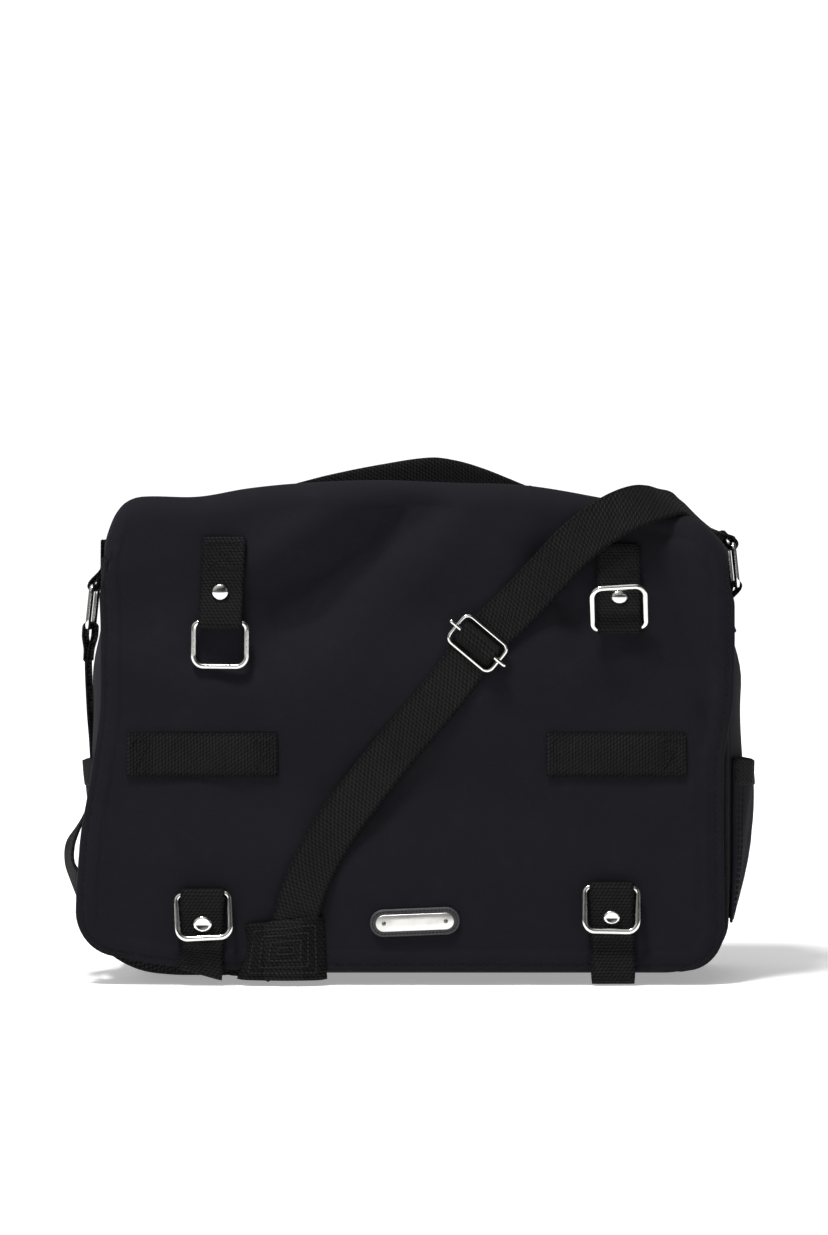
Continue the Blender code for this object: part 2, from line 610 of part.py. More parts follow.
def build_strap():
    over_tab = TAB_LAYERS + 2 * GAP + STRAP_THICKNESS / 2
    low = GAP + STRAP_THICKNESS / 2
    front = [
        (0.1932, run_at_depth(-0.0020), low),
        (0.1890, run_at_depth(-0.0023), low),
        (0.1790, run_at_depth(-0.0070), low),
        (0.1640, run_at_depth(-0.0220), low),
        (0.1510, run_at_depth(-0.0410), low),
        (0.1370, run_at_height(0.2950), 0.0022),
        (0.1250, run_at_height(0.2860), over_tab),
        (0.1130, run_at_height(0.2780), over_tab),
        (0.1000, run_at_height(0.2670), over_tab),
        (0.0820, run_at_height(0.2490), 0.0030),
        (0.0640, run_at_height(0.2310), low),
        (0.0390, run_at_height(0.2060), low),
        (0.0125, run_at_height(0.1710), low),
        (-0.0045, run_at_height(0.1500), low),
        (-0.0210, run_at_height(0.1300), low),
        (-0.0430, run_at_height(0.1020), low),
        (-0.0640, run_at_height(0.0700), low),
        (-0.0745, run_at_height(0.0530), low),
        (-0.0778, run_at_height(0.0440), low),
        (-0.0780, run_at_height(0.0382), low),
    ]
    draped_band("strap_front_run", front, STRAP_WIDTH, STRAP_THICKNESS, WEBBING)

    x_low, x_high, z_low, z_high = PATCH
    block(
        "strap_patch",
        (x_low, FLAP_SKIN - PATCH_THICKNESS, z_low),
        (x_high, FLAP_SKIN, z_high),
        WEBBING,
    )
    across = (1, 0, 0)
    under = FLAP_BOTTOM_Z - 0.0012
    hook = [((-0.078, FLAP_SKIN - 0.0022, 0.0107), across)]
    turn_radius = (abs(FLAP_SKIN - 0.0022) - 0.0555) / 2
    centre_y = (FLAP_SKIN - 0.0022 - 0.0555) / 2
    for step in range(9):
        angle = math.pi * step / 8
        y = centre_y - turn_radius * math.cos(angle)
        z = under - 0.0020 - turn_radius * 1.1 * math.sin(angle)
        hook.append(((-0.078, y, z), across))
    hook.append(((-0.078, -0.0555, 0.0200), across))
    ribbon("strap_hook", hook, STRAP_WIDTH, STRAP_THICKNESS, WEBBING)

    upright = (0, 0, 1)
    tuck = smooth_path(
        [
            ((-0.0620, -0.0524, 0.0163), upright),
            ((-0.1330, -0.0518, 0.0163), upright),
            ((-0.1540, -0.0525, 0.0250), (0.25, 0, 1)),
            ((-0.1680, -0.0530, 0.0470), (0.45, 0, 1)),
            ((-0.1770, -0.0530, 0.0640), (0.25, 0, 1)),
            ((-0.1850, -0.0530, 0.0700), upright),
            ((-0.1918, -0.0530, 0.0700), upright),
        ],
        3,
    )
    ribbon("strap_tuck", tuck, STRAP_WIDTH, STRAP_THICKNESS, WEBBING)
    ring_down = SIDE_BAR_Z - RING_SPAN * math.cos(SIDE_RING_LEAN_LEFT)
    ring_out = SIDE_BAR_X + RING_SPAN * math.sin(SIDE_RING_LEAN_LEFT)
    left = smooth_path(
        [
            ((-0.1945, -0.0530, 0.0700), upright),
            ((-0.2010, -0.0528, 0.0702), upright),
            ((-0.2080, -0.0480, 0.0730), (0, -0.25, 1)),
            ((-0.2115, -0.0370, 0.0810), (0, -0.60, 1)),
            ((-0.2115, -0.0240, 0.0940), (0, -1, 0.85)),
            ((-0.2090, -0.0120, 0.1120), (0, -1, 0.40)),
            ((-0.2070, -0.0040, 0.1330), (0, -1, 0.15)),
            ((-0.2055, 0.0000, 0.1580), (0, -1, 0)),
            ((-ring_out - 0.0020, 0.0000, ring_down - 0.0240), (0, -1, 0)),
        ],
        3,
    )
    ribbon("strap_left_run", left, STRAP_WIDTH, STRAP_THICKNESS, WEBBING)

    ends = (RISE_LOW_Z, (RISE_LOW_Z + RISE_TOP_Z) / 2, RISE_TOP_Z)
    rise = [((RISE_X, RISE_Y, z), (0, 1, 0)) for z in ends]
    ribbon("strap_rise", rise, STRAP_WIDTH, STRAP_THICKNESS, WEBBING)


def strap_loop(name, bar, direction, length, y):
    """The strap's end turned round a ring's bar: two layers that leave the bar along a direction in XZ."""
    along = Vector((direction[0], direction[1])).normalized()
    side = Vector((-along.y, along.x))
    centre = Vector(bar)
    outer = []
    steps = 10
    for step in range(steps + 1):
        angle = math.pi * step / steps
        outer.append(centre + side * STRAP_FOLD * math.cos(angle) - along * STRAP_FOLD * math.sin(angle))
    half_layers = STRAP_THICKNESS + GAP / 2
    near = centre + along * 3.4 * STRAP_FOLD
    far = centre + along * length
    outer += [near - side * half_layers, far - side * half_layers]
    outer += [far + side * half_layers, near + side * half_layers]
    hole = []
    for step in range(16):
        angle = 2 * math.pi * step / 16
        offset = Vector((math.cos(angle), math.sin(angle))) * (WIRE_RADIUS + GAP)
        hole.append(centre + offset)
    outlines = [[tuple(p) for p in outer], [tuple(p) for p in hole]]
    slab(name, outlines, STRAP_WIDTH, WEBBING, front_matrix(y))


def build_side_hardware():
    """The left ring hangs from a tab sewn above it. The strap pulls up the right one, sewn below it."""
    for name, side, up, lean in (
        ("left", -1, -1, SIDE_RING_LEAN_LEFT),
        ("right", 1, 1, SIDE_RING_LEAN_RIGHT),
    ):
        bar_x = side * SIDE_BAR_X
        end_z = SIDE_BAR_Z - up * SIDE_TAB_LENGTH
        outlines = fold_outline(bar_x, SIDE_BAR_Z, end_z, side * SIDE_SKIN, side, SIDE_TAB_STANDOFF)
        slab("side_tab_" + name, outlines, SIDE_TAB_WIDTH, WEBBING, front_matrix(0))
        reach = (side * math.sin(lean), 0, up * math.cos(lean))
        ring = ring_points((bar_x, 0, SIDE_BAR_Z), reach, (0, 1, 0), SIDE_RING_WIDTH)
        wire("side_ring_" + name, ring, WIRE_RADIUS, True, NICKEL)
        far = (bar_x + reach[0] * RING_SPAN, SIDE_BAR_Z + reach[2] * RING_SPAN)
        if name == "left":
            strap_loop("strap_end_left", far, (-0.05, -1), 0.0230, 0.0)
        else:
            strap_loop("strap_end_right", far, (0.02, 1), 0.0150, 0.0)


def build_slider():
    along = Vector((math.cos(SLIDER_ALONG), 0, math.sin(SLIDER_ALONG)))
    across = Vector((math.sin(SLIDER_ALONG), 0, -math.cos(SLIDER_ALONG)))
    y = STRAP_Y - STRAP_THICKNESS / 2 - GAP - SLIDER_WIRE - 0.0012
    centre = Vector((SLIDER_CENTRE[0], y, SLIDER_CENTRE[1]))
    corner = 0.0040
    reach_across = SLIDER_HALF_ACROSS - corner
    reach_along = SLIDER_HALF_ALONG - corner
    points = []
    for quarter, (s, a) in enumerate(((1, 1), (-1, 1), (-1, -1), (1, -1))):
        middle = centre + across * s * reach_across + along * a * reach_along
        for step in range(5):
            angle = quarter * math.pi / 2 + step * math.pi / 8
            points.append(middle + corner * (across * math.cos(angle) + along * math.sin(angle)))
    wire("slider_frame", points, SLIDER_WIRE, True, NICKEL)
    bar_centre = centre + Vector((0, -2 * SLIDER_WIRE - GAP, 0))
    ends = (bar_centre - across * SLIDER_BAR_HALF, bar_centre + across * SLIDER_BAR_HALF)
    rod("slider_bar", ends[0], ends[1], SLIDER_WIRE, 12, NICKEL)


def hang_on_joints():
    """An empty on each joint's axis carries the pieces that move with that joint."""
    rings = {
        "ring_upper_left": UPPER_LEFT,
        "ring_upper_right": UPPER_RIGHT,
        "ring_lower_left": LOWER_LEFT,
        "ring_lower_right": LOWER_RIGHT,
    }
    pivots = {name: (place["x"], TAB_BAR_Y, place["bar_z"]) for name, place in rings.items()}
    pivots["side_ring_left"] = (-SIDE_BAR_X, 0, SIDE_BAR_Z)
    pivots["side_ring_right"] = (SIDE_BAR_X, 0, SIDE_BAR_Z)
    pivots["handle"] = (0, HANDLE_Y, HANDLE_PIVOT_Z)
    pivots["slider_frame"] = (SLIDER_CENTRE[0], STRAP_Y, SLIDER_CENTRE[1])
    pivots["flap"] = (0, HINGE_Y, HINGE_Z)
    carried = {name: [name] for name in pivots}
    carried["side_ring_left"].append("strap_end_left")
    carried["side_ring_right"].append("strap_end_right")
    carried["slider_frame"].append("slider_bar")
    starts = ("tab_", "rivet_", "stud_", "snap_socket_", "lash_", "badge_", "handle_anchor_")
    strap = ("strap_front_run", "strap_patch", "strap_hook", "strap_tuck")
    for obj in bpy.data.objects:
        if obj.name.startswith(starts) or obj.name in strap:
            carried["flap"].append(obj.name)
    for name, place in pivots.items():
        pivot = bpy.data.objects.new(name + "_pivot", None)
        pivot.location = place
        bpy.context.scene.collection.objects.link(pivot)
        for child in carried[name]:
            bpy.data.objects[child].parent = pivot
            bpy.data.objects[child].matrix_parent_inverse = Matrix.Translation(-Vector(place))


def main():
    clear_scene()
    build_body()
    build_pockets()
    build_flap()
    build_front_tabs()
    build_lash_strips()
    build_badge()
    build_handle()
    build_strap()
    build_side_hardware()
    build_slider()
    hang_on_joints()


main()
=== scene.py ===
"""Looks of the messenger bag: sewn cloth pieces, webbing, stitches and metal fittings over the CAD frame.

Metres, +Z up, the bag's front faces -Y.
"""

import math

import bmesh
import bpy
from mathutils import Matrix, Vector, noise


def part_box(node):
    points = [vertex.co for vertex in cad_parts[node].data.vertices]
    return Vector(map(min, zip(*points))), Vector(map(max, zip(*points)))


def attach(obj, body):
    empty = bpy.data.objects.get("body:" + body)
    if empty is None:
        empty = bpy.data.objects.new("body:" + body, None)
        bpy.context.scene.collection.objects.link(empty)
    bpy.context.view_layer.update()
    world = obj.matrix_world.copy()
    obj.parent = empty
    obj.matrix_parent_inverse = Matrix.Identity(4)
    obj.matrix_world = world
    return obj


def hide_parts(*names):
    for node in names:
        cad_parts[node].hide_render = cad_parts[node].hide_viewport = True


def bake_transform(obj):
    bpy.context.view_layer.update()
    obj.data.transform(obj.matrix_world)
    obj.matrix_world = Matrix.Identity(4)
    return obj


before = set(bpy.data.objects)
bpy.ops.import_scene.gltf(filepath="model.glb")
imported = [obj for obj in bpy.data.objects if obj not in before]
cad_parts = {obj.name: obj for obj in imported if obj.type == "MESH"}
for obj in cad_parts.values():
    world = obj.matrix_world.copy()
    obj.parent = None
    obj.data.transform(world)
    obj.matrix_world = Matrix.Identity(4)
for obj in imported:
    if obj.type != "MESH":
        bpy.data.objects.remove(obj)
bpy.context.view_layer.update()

# ---------------------------------------------------------------- sizes
FLAP_LOW, FLAP_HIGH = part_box("flap")
FRONT_Y = -0.0600
FLAP_THICKNESS = 0.0024
HINGE = Vector((0.0, 0.0535, 0.2880))
RIDGE_BEND = 0.0152
BEND_LENGTH = RIDGE_BEND * math.pi / 2
BEND_Y = FRONT_Y + RIDGE_BEND
CORNER = 0.025

GAP = 0.0003
WEB = 0.0015
STRAP_WIDTH = 0.025
STRAP_THICKNESS = 0.0019
WIRE = 0.00165
TAB_WIDTH = 0.0248

# The flap's outline, as heights or places along an axis
RIDGE = (
    (-0.200, 0.2450), (-0.1920, 0.2560), (-0.1870, 0.2640), (-0.1840, 0.2740), (-0.1800, 0.2835),
    (-0.1740, 0.2905), (-0.1650, 0.2937), (-0.1310, 0.2937), (-0.1010, 0.2987), (-0.0700, 0.3018),
    (-0.0250, 0.3036), (0.0260, 0.3020), (0.0680, 0.3004), (0.1170, 0.2922), (0.1440, 0.2868),
    (0.1600, 0.2838), (0.1720, 0.2788), (0.1790, 0.2732), (0.1857, 0.2655), (0.1908, 0.2570),
    (0.2000, 0.2480),
)
LEFT_EDGE = (
    (0.000, -0.2030), (0.054, -0.2025), (0.075, -0.2010), (0.093, -0.1995), (0.122, -0.1945),
    (0.160, -0.1892), (0.207, -0.1882), (0.248, -0.1896), (0.258, -0.1895), (0.266, -0.1860),
    (0.285, -0.1845), (0.310, -0.1840),
)
RIGHT_EDGE = (
    (0.000, 0.1850), (0.051, 0.1848), (0.135, 0.1848), (0.150, 0.1872), (0.171, 0.1905),
    (0.231, 0.1915), (0.250, 0.1905), (0.262, 0.1890), (0.285, 0.1870), (0.310, 0.1860),
)
LOWER_EDGE = (
    (-0.205, 0.0190), (-0.178, 0.0165), (-0.158, 0.0132), (-0.139, 0.0108), (-0.095, 0.0090),
    (0.000, 0.0086), (0.200, 0.0080),
)


def along(table, at):
    """Smooth value of a table of (place, value) pairs at a place."""
    if at <= table[0][0]:
        return table[0][1]
    if at >= table[-1][0]:
        return table[-1][1]
    for i in range(len(table) - 1):
        a, b = table[i], table[i + 1]
        if at <= b[0]:
            before = table[max(i - 1, 0)]
            after = table[min(i + 2, len(table) - 1)]
            span = b[0] - a[0]
            t = (at - a[0]) / span
            slope_a = (b[1] - before[1]) / (b[0] - before[0]) * span
            slope_b = (after[1] - a[1]) / (after[0] - a[0]) * span
            t2 = t * t
            t3 = t2 * t
            return (
                (2 * t3 - 3 * t2 + 1) * a[1]
                + (t3 - 2 * t2 + t) * slope_a
                + (3 * t2 - 2 * t3) * b[1]
                + (t3 - t2) * slope_b
            )
    return table[-1][1]


def smooth(low, high, value):
    t = min(max((value - low) / (high - low), 0.0), 1.0)
    return t * t * (3 - 2 * t)


def hump(distance, width):
    return math.exp(-((distance / width) ** 2))


def valley(x, z, start, end, width):
    """1 on the line between two places on the front, fading to 0 at its sides and past its ends."""
    ax, az = start
    bx, bz = end
    dx, dz = bx - ax, bz - az
    length = math.hypot(dx, dz)
    share = ((x - ax) * dx + (z - az) * dz) / length**2
    off = ((x - ax) * dz - (z - az) * dx) / length
    ends = smooth(-0.25, 0.2, share) * (1 - smooth(0.8, 1.25, share))
    return hump(off, width) * ends


TABS = {
    "upper_left": (-0.1165, 0.2172, 0.2680),
    "upper_right": (0.1225, 0.2142, 0.2640),
    "lower_left": (-0.1270, 0.0547, 0.0035),
    "lower_right": (0.1178, 0.0587, 0.0015),
}


def relief(x, z):
    """How far the flap's front stands out of its flat place, at a spot on the front: folds, sag and puckers."""
    out = 0.0
    out -= 0.0085 * valley(x, z, (0.016, 0.296), (-0.074, 0.222), 0.0135)
    out -= 0.0040 * valley(x, z, (-0.060, 0.238), (-0.112, 0.190), 0.0170)
    out += 0.0052 * valley(x, z, (-0.020, 0.304), (-0.106, 0.246), 0.0130)
    out += 0.0022 * valley(x, z, (0.032, 0.276), (-0.050, 0.196), 0.0150)
    out -= 0.0050 * valley(x, z, (0.074, 0.262), (0.104, 0.206), 0.0110)
    out += 0.0022 * valley(x, z, (0.086, 0.258), (0.132, 0.192), 0.0090)
    out -= 0.0042 * valley(x, z, (0.146, 0.262), (0.174, 0.190), 0.0110)
    out += 0.0020 * valley(x, z, (0.168, 0.262), (0.184, 0.200), 0.0080)
    out -= 0.0062 * hump(z - 0.2765, 0.0105) * hump(x - 0.1530, 0.0230)
    out -= 0.0030 * hump(z - 0.226, 0.026) * hump(x + 0.045, 0.120)
    out += 0.0034 * hump(z - 0.180, 0.032) * hump(x + 0.050, 0.110)
    out -= 0.0036 * hump(z - 0.118, 0.030) * hump(x + 0.040, 0.120)
    out -= 0.0036 * valley(x, z, (0.096, 0.232), (0.128, 0.172), 0.0115)
    out += 0.0024 * valley(x, z, (0.122, 0.196), (0.166, 0.166), 0.0110)
    out -= 0.0030 * hump(z - 0.230, 0.018) * hump(x + 0.150, 0.040)
    out -= 0.0026 * hump(z - 0.228, 0.020) * hump(x + 0.078, 0.030)
    out -= 0.0026 * hump(z - 0.165, 0.022) * hump(x - 0.120, 0.060)
    out += 0.0014 * hump(z - 0.070, 0.030) * hump(x + 0.060, 0.120)
    out -= 0.0028 * valley(x, z, (-0.190, 0.178), (-0.090, 0.100), 0.0160)
    out += 0.0018 * valley(x, z, (-0.190, 0.200), (-0.110, 0.172), 0.0120)
    out -= 0.0026 * valley(x, z, (0.020, 0.120), (0.150, 0.075), 0.0180)
    out -= 0.0020 * valley(x, z, (0.176, 0.190), (0.180, 0.040), 0.0070)
    out += 0.0018 * noise.noise(Vector((x * 13, z * 13, 3.1)))
    out += 0.0010 * noise.noise(Vector((x * 31, z * 24, 7.7)))
    out += 0.0004 * noise.noise(Vector((x * 75, z * 60, 1.7)))
    for tab_x, bar_z, _ in TABS.values():
        away = math.hypot((x - tab_x) / 0.026, (z - bar_z) / 0.022)
        out *= 1 - 0.80 * hump(away, 1.0)
    edge = min(along(RIGHT_EDGE, z) - x, x - along(LEFT_EDGE, z))
    out -= 0.0020 * hump(edge, 0.007)
    return max(out, -0.0078)


def top_shape(x, y):
    """Height of the flap's top at a place: the ridge's height in front, the hinge line's behind."""
    ridge = along(RIDGE, x)
    rear_line = HINGE.z + 0.0013 - 0.55 * max(0.0, 0.2925 - ridge)
    rear = smooth(-0.030, HINGE.y, y)
    wave = 0.0016 * noise.noise(Vector((x * 14, y * 20, 1.7)))
    swell = 0.0012 * math.sin(math.pi * smooth(BEND_Y, HINGE.y, y))
    return ridge + (rear_line - ridge) * rear + (wave + swell) * (1 - smooth(0.040, HINGE.y, y))


def flap_point(x, run, lift):
    """A point over the flap. run is the way down from the end of the ridge's bend, negative on the bend and top."""
    ridge = along(RIDGE, x)
    if run >= 0:
        z = ridge - RIDGE_BEND - run
        return Vector((x, FRONT_Y - lift - relief(x, z), z))
    if run > -BEND_LENGTH:
        angle = -run / RIDGE_BEND
        out = RIDGE_BEND + lift + relief(x, ridge - RIDGE_BEND) * math.cos(angle) ** 2
        return Vector((x, BEND_Y - out * math.cos(angle), ridge - RIDGE_BEND + out * math.sin(angle)))
    y = BEND_Y - run - BEND_LENGTH
    fade = smooth(0, 0.02, y - BEND_Y)
    return Vector((x, y, (top_shape(x, y) - ridge) * fade + ridge + lift))


def front_point(x, z, lift):
    """A point over the flap's front at a height."""
    return flap_point(x, along(RIDGE, x) - RIDGE_BEND - z, lift)


# ---------------------------------------------------------------- mesh making
def new_object(name, vertices, faces, uvs, material):
    """A smooth mesh object. uvs gives a (u, v) in metres for each vertex."""
    mesh = bpy.data.meshes.new(name)
    mesh.from_pydata([tuple(v) for v in vertices], [], faces)
    layer = mesh.uv_layers.new(name="UVMap")
    for loop in mesh.loops:
        layer.data[loop.index].uv = uvs[loop.vertex_index]
    mesh.polygons.foreach_set("use_smooth", [True] * len(mesh.polygons))
    shell = bmesh.new()
    shell.from_mesh(mesh)
    bmesh.ops.recalc_face_normals(shell, faces=shell.faces)
    shell.to_mesh(mesh)
    shell.free()
    mesh.update()
    obj = bpy.data.objects.new(name, mesh)
    bpy.context.scene.collection.objects.link(obj)
    obj.data.materials.append(material)
    return obj


def grid_normals(grid):
    rows, columns = len(grid), len(grid[0])
    found = []
    for i in range(rows):
        line = []
        for j in range(columns):
            down = grid[min(i + 1, rows - 1)][j] - grid[max(i - 1, 0)][j]
            over = grid[i][min(j + 1, columns - 1)] - grid[i][max(j - 1, 0)]
            line.append(over.cross(down).normalized())
        found.append(line)
    return found


def thick_grid(name, grid, uv, thickness, material, rim=0.55):
    """A closed sheet of even thickness about a grid of points, with a rounded rim.

    The outer face lies on the side of (across x down). uv(i, j) gives metres.
    """
    rows, columns = len(grid), len(grid[0])
    normals = grid_normals(grid)
    vertices, uvs, faces = [], [], []
    for side in (0.5, -0.5):
        for i in range(rows):
            for j in range(columns):
                vertices.append(grid[i][j] + normals[i][j] * (thickness * side))
                uvs.append(uv(i, j))
    back = rows * columns
    for i in range(rows - 1):
        for j in range(columns - 1):
            a = i * columns + j
            b, c, d = a + 1, a + columns + 1, a + columns
            faces.append((a, d, c, b))
            faces.append((back + a, back + b, back + c, back + d))
    ring = [(0, j) for j in range(columns)]
    ring += [(i, columns - 1) for i in range(1, rows)]
    ring += [(rows - 1, j) for j in range(columns - 2, -1, -1)]
    ring += [(i, 0) for i in range(rows - 2, 0, -1)]
    first = len(vertices)
    for k, (i, j) in enumerate(ring):
        here = grid[i][j]
        inner_i = min(max(i, 1), rows - 2)
        inner_j = min(max(j, 1), columns - 2)
        out = (here - grid[inner_i][inner_j]).normalized()
        out = (out - normals[i][j] * out.dot(normals[i][j])).normalized()
        vertices.append(here + out * thickness * rim)
        uvs.append(uv(i, j))
    count = len(ring)
    for k, (i, j) in enumerate(ring):
        i2, j2 = ring[(k + 1) % count]
        a, b = i * columns + j, i2 * columns + j2
        mid_a, mid_b = first + k, first + (k + 1) % count
        faces.append((a, b, mid_b, mid_a))
        faces.append((mid_a, mid_b, back + b, back + a))
    return new_object(name, vertices, faces, uvs, material)


def spline(stations, steps):
    """Smooth points through stations, each a tuple of vectors or numbers interpolated together."""
    found = []
    last = len(stations) - 1
    for i in range(last):
        p0, p1, p2, p3 = (stations[min(max(k, 0), last)] for k in (i - 1, i, i + 1, i + 2))
        for step in range(steps):
            t = step / steps
            row = []
            for a, b, c, d in zip(p0, p1, p2, p3):
                row.append(
                    (b * 2 + (c - a) * t + (a * 2 - b * 5 + c * 4 - d) * t**2 + (b * 3 - a - c * 3 + d) * t**3) * 0.5
                )
            found.append(tuple(row))
    found.append(tuple(stations[last]))
    return found


def even(points, spacing):
    """The same path with evenly spaced points. Each entry is a tuple whose first item is the place."""
    lengths = [0.0]
    for a, b in zip(points, points[1:]):
        lengths.append(lengths[-1] + (b[0] - a[0]).length)
    count = max(int(round(lengths[-1] / spacing)), 2)
    found, k = [], 0
    for n in range(count + 1):
        at = lengths[-1] * n / count
        while k < len(lengths) - 2 and lengths[k + 1] < at:
            k += 1
        span = lengths[k + 1] - lengths[k]
        t = (at - lengths[k]) / span if span > 0 else 0.0
        found.append(tuple(a + (b - a) * t for a, b in zip(points[k], points[k + 1])))
    return found, lengths[-1]


def band(name, path, width, thickness, material, columns=9, start=0.0, cup=0.0, pinch=None):
    """A woven band along (point, width direction) pairs, with soft edges.

    start is the distance along the whole strap where this piece begins, so that weaves run on. cup bends
    the band's edges away from its face. pinch(distance) narrows it.
    """
    grid, distances, total = [], [], start
    for i, (point, side) in enumerate(path):
        if i:
            total += (point - path[i - 1][0]).length
        before, after = path[max(i - 1, 0)][0], path[min(i + 1, len(path) - 1)][0]
        way = (after - before).normalized()
        across = (side - way * side.dot(way)).normalized()
        normal = across.cross(way)
        half = width / 2 * (pinch(total - start) if pinch else 1.0)
        row = []
        for j in range(columns):
            share = 2 * j / (columns - 1) - 1
            row.append(point + across * (share * half) - normal * (cup * share * share))
        grid.append(row)
        distances.append(total)

    def uv(i, j):
        return ((2 * j / (columns - 1) - 1) * width / 2, distances[i])

    return thick_grid(name, grid, uv, thickness, material)


def tube(name, points, radius, closed, sides, material, caps=True):
    """A round tube through points, carried along without twisting."""
    count = len(points)
    vertices, uvs, faces = [], [], []
    normal = None
    total = 0.0
    for i, point in enumerate(points):
        before = points[(i - 1) % count] if closed or i else point
        after = points[(i + 1) % count] if closed or i < count - 1 else point
        way = (after - before).normalized()
        if normal is None:
            pick = Vector((0, 0, 1)) if abs(way.z) < 0.9 else Vector((1, 0, 0))
            normal = (pick - way * pick.dot(way)).normalized()
        else:
            normal = (normal - way * normal.dot(way)).normalized()
            total += (point - points[i - 1]).length
        other = way.cross(normal)
        size = radius(i) if callable(radius) else radius
        for k in range(sides):
            angle = 2 * math.pi * k / sides
            vertices.append(point + (normal * math.cos(angle) + other * math.sin(angle)) * size)
            uvs.append((size * angle, total))
    spans = count if closed else count - 1
    for i in range(spans):
        a, b = i * sides, ((i + 1) % count) * sides
        shift = 0
        if closed and i == count - 1:
            first = vertices[a]
            shift = min(range(sides), key=lambda s: (vertices[b + s] - first).length)
        for k in range(sides):
            n = (k + 1) % sides
            faces.append((a + k, b + (k + shift) % sides, b + (n + shift) % sides, a + n))
    if caps and not closed:
        faces.append(tuple(range(sides)))
        faces.append(tuple(range((count - 1) * sides, count * sides))[::-1])
    return new_object(name, vertices, [f[::-1] for f in faces], uvs, material)


def spun(name, profile, place, turn, sides, material):
    """A turned part: (radius, height) pairs from the middle of its top to the middle of its foot."""
    vertices, uvs, faces = [], [], []
    rings = []
    for radius, height in profile:
        if radius < 1e-7:
            rings.append([len(vertices)])
            vertices.append(Vector((0, 0, height)))
            uvs.append((0.0, height))
            continue
        rings.append(list(range(len(vertices), len(vertices) + sides)))
        for k in range(sides):
            angle = 2 * math.pi * k / sides
            vertices.append(Vector((radius * math.cos(angle), radius * math.sin(angle), height)))
            uvs.append((radius * math.cos(angle), radius * math.sin(angle)))
    for a, b in zip(rings, rings[1:]):
        for k in range(sides):
            n = (k + 1) % sides
            if len(a) == 1:
                faces.append((a[0], b[k], b[n]))
            elif len(b) == 1:
                faces.append((a[k], b[0], a[n]))
            else:
                faces.append((a[k], b[k], b[n], a[n]))
    matrix = Matrix.Translation(place) @ turn
    return new_object(name, [matrix @ v for v in vertices], faces, uvs, material)


FACE_OUT = Matrix.Rotation(math.pi / 2, 4, "X")


class Stitches:
    """Thread stitches gathered into one mesh for each body."""

    def __init__(self):
        self.vertices, self.faces, self.uvs = [], [], []

    def one(self, start, end, normal, radius):
        way = (end - start).normalized()
        normal = (normal - way * normal.dot(way)).normalized()
        side = way.cross(normal)
        length = (end - start).length
        base = len(self.vertices)
        self.vertices.append(start - normal * radius * 0.6)
        self.uvs.append((0.0, 0.0))
        for share, size, up in ((0.10, 0.75, 0.0), (0.5, 1.0, 0.35), (0.90, 0.75, 0.0)):
            middle = start + way * (length * share) + normal * (radius * up)
            for k in range(6):
                angle = math.pi * k / 3
                offset = side * math.cos(angle) + normal * math.sin(angle)
                self.vertices.append(middle + offset * radius * size)
                self.uvs.append((radius * angle, length * share))
        self.vertices.append(end - normal * radius * 0.6)
        self.uvs.append((0.0, length))
        last = base + 19
        for k in range(6):
            n = (k + 1) % 6
            self.faces.append((base, base + 1 + n, base + 1 + k))
            self.faces.append((last, base + 13 + k, base + 13 + n))
            for ring in (1, 7):
                a = base + ring
                self.faces.append((a + k, a + n, a + 6 + n, a + 6 + k))

    def line(self, points, normal_at, pitch=0.0036, share=0.72, radius=0.00036):
        """A row of stitches along points; normal_at(i) is the way out of the cloth."""
        entries = [(p, normal_at(i)) for i, p in enumerate(points)]
        placed, length = even(entries, pitch)
        for (a, normal), (b, _) in zip(placed, placed[1:]):
            self.one(a, a + (b - a) * share, normal, radius)

    def made(self, name, body, material):
        if not self.vertices:
            return None
        obj = new_object(name, self.vertices, self.faces, self.uvs, material)
        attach(obj, body)
        return obj


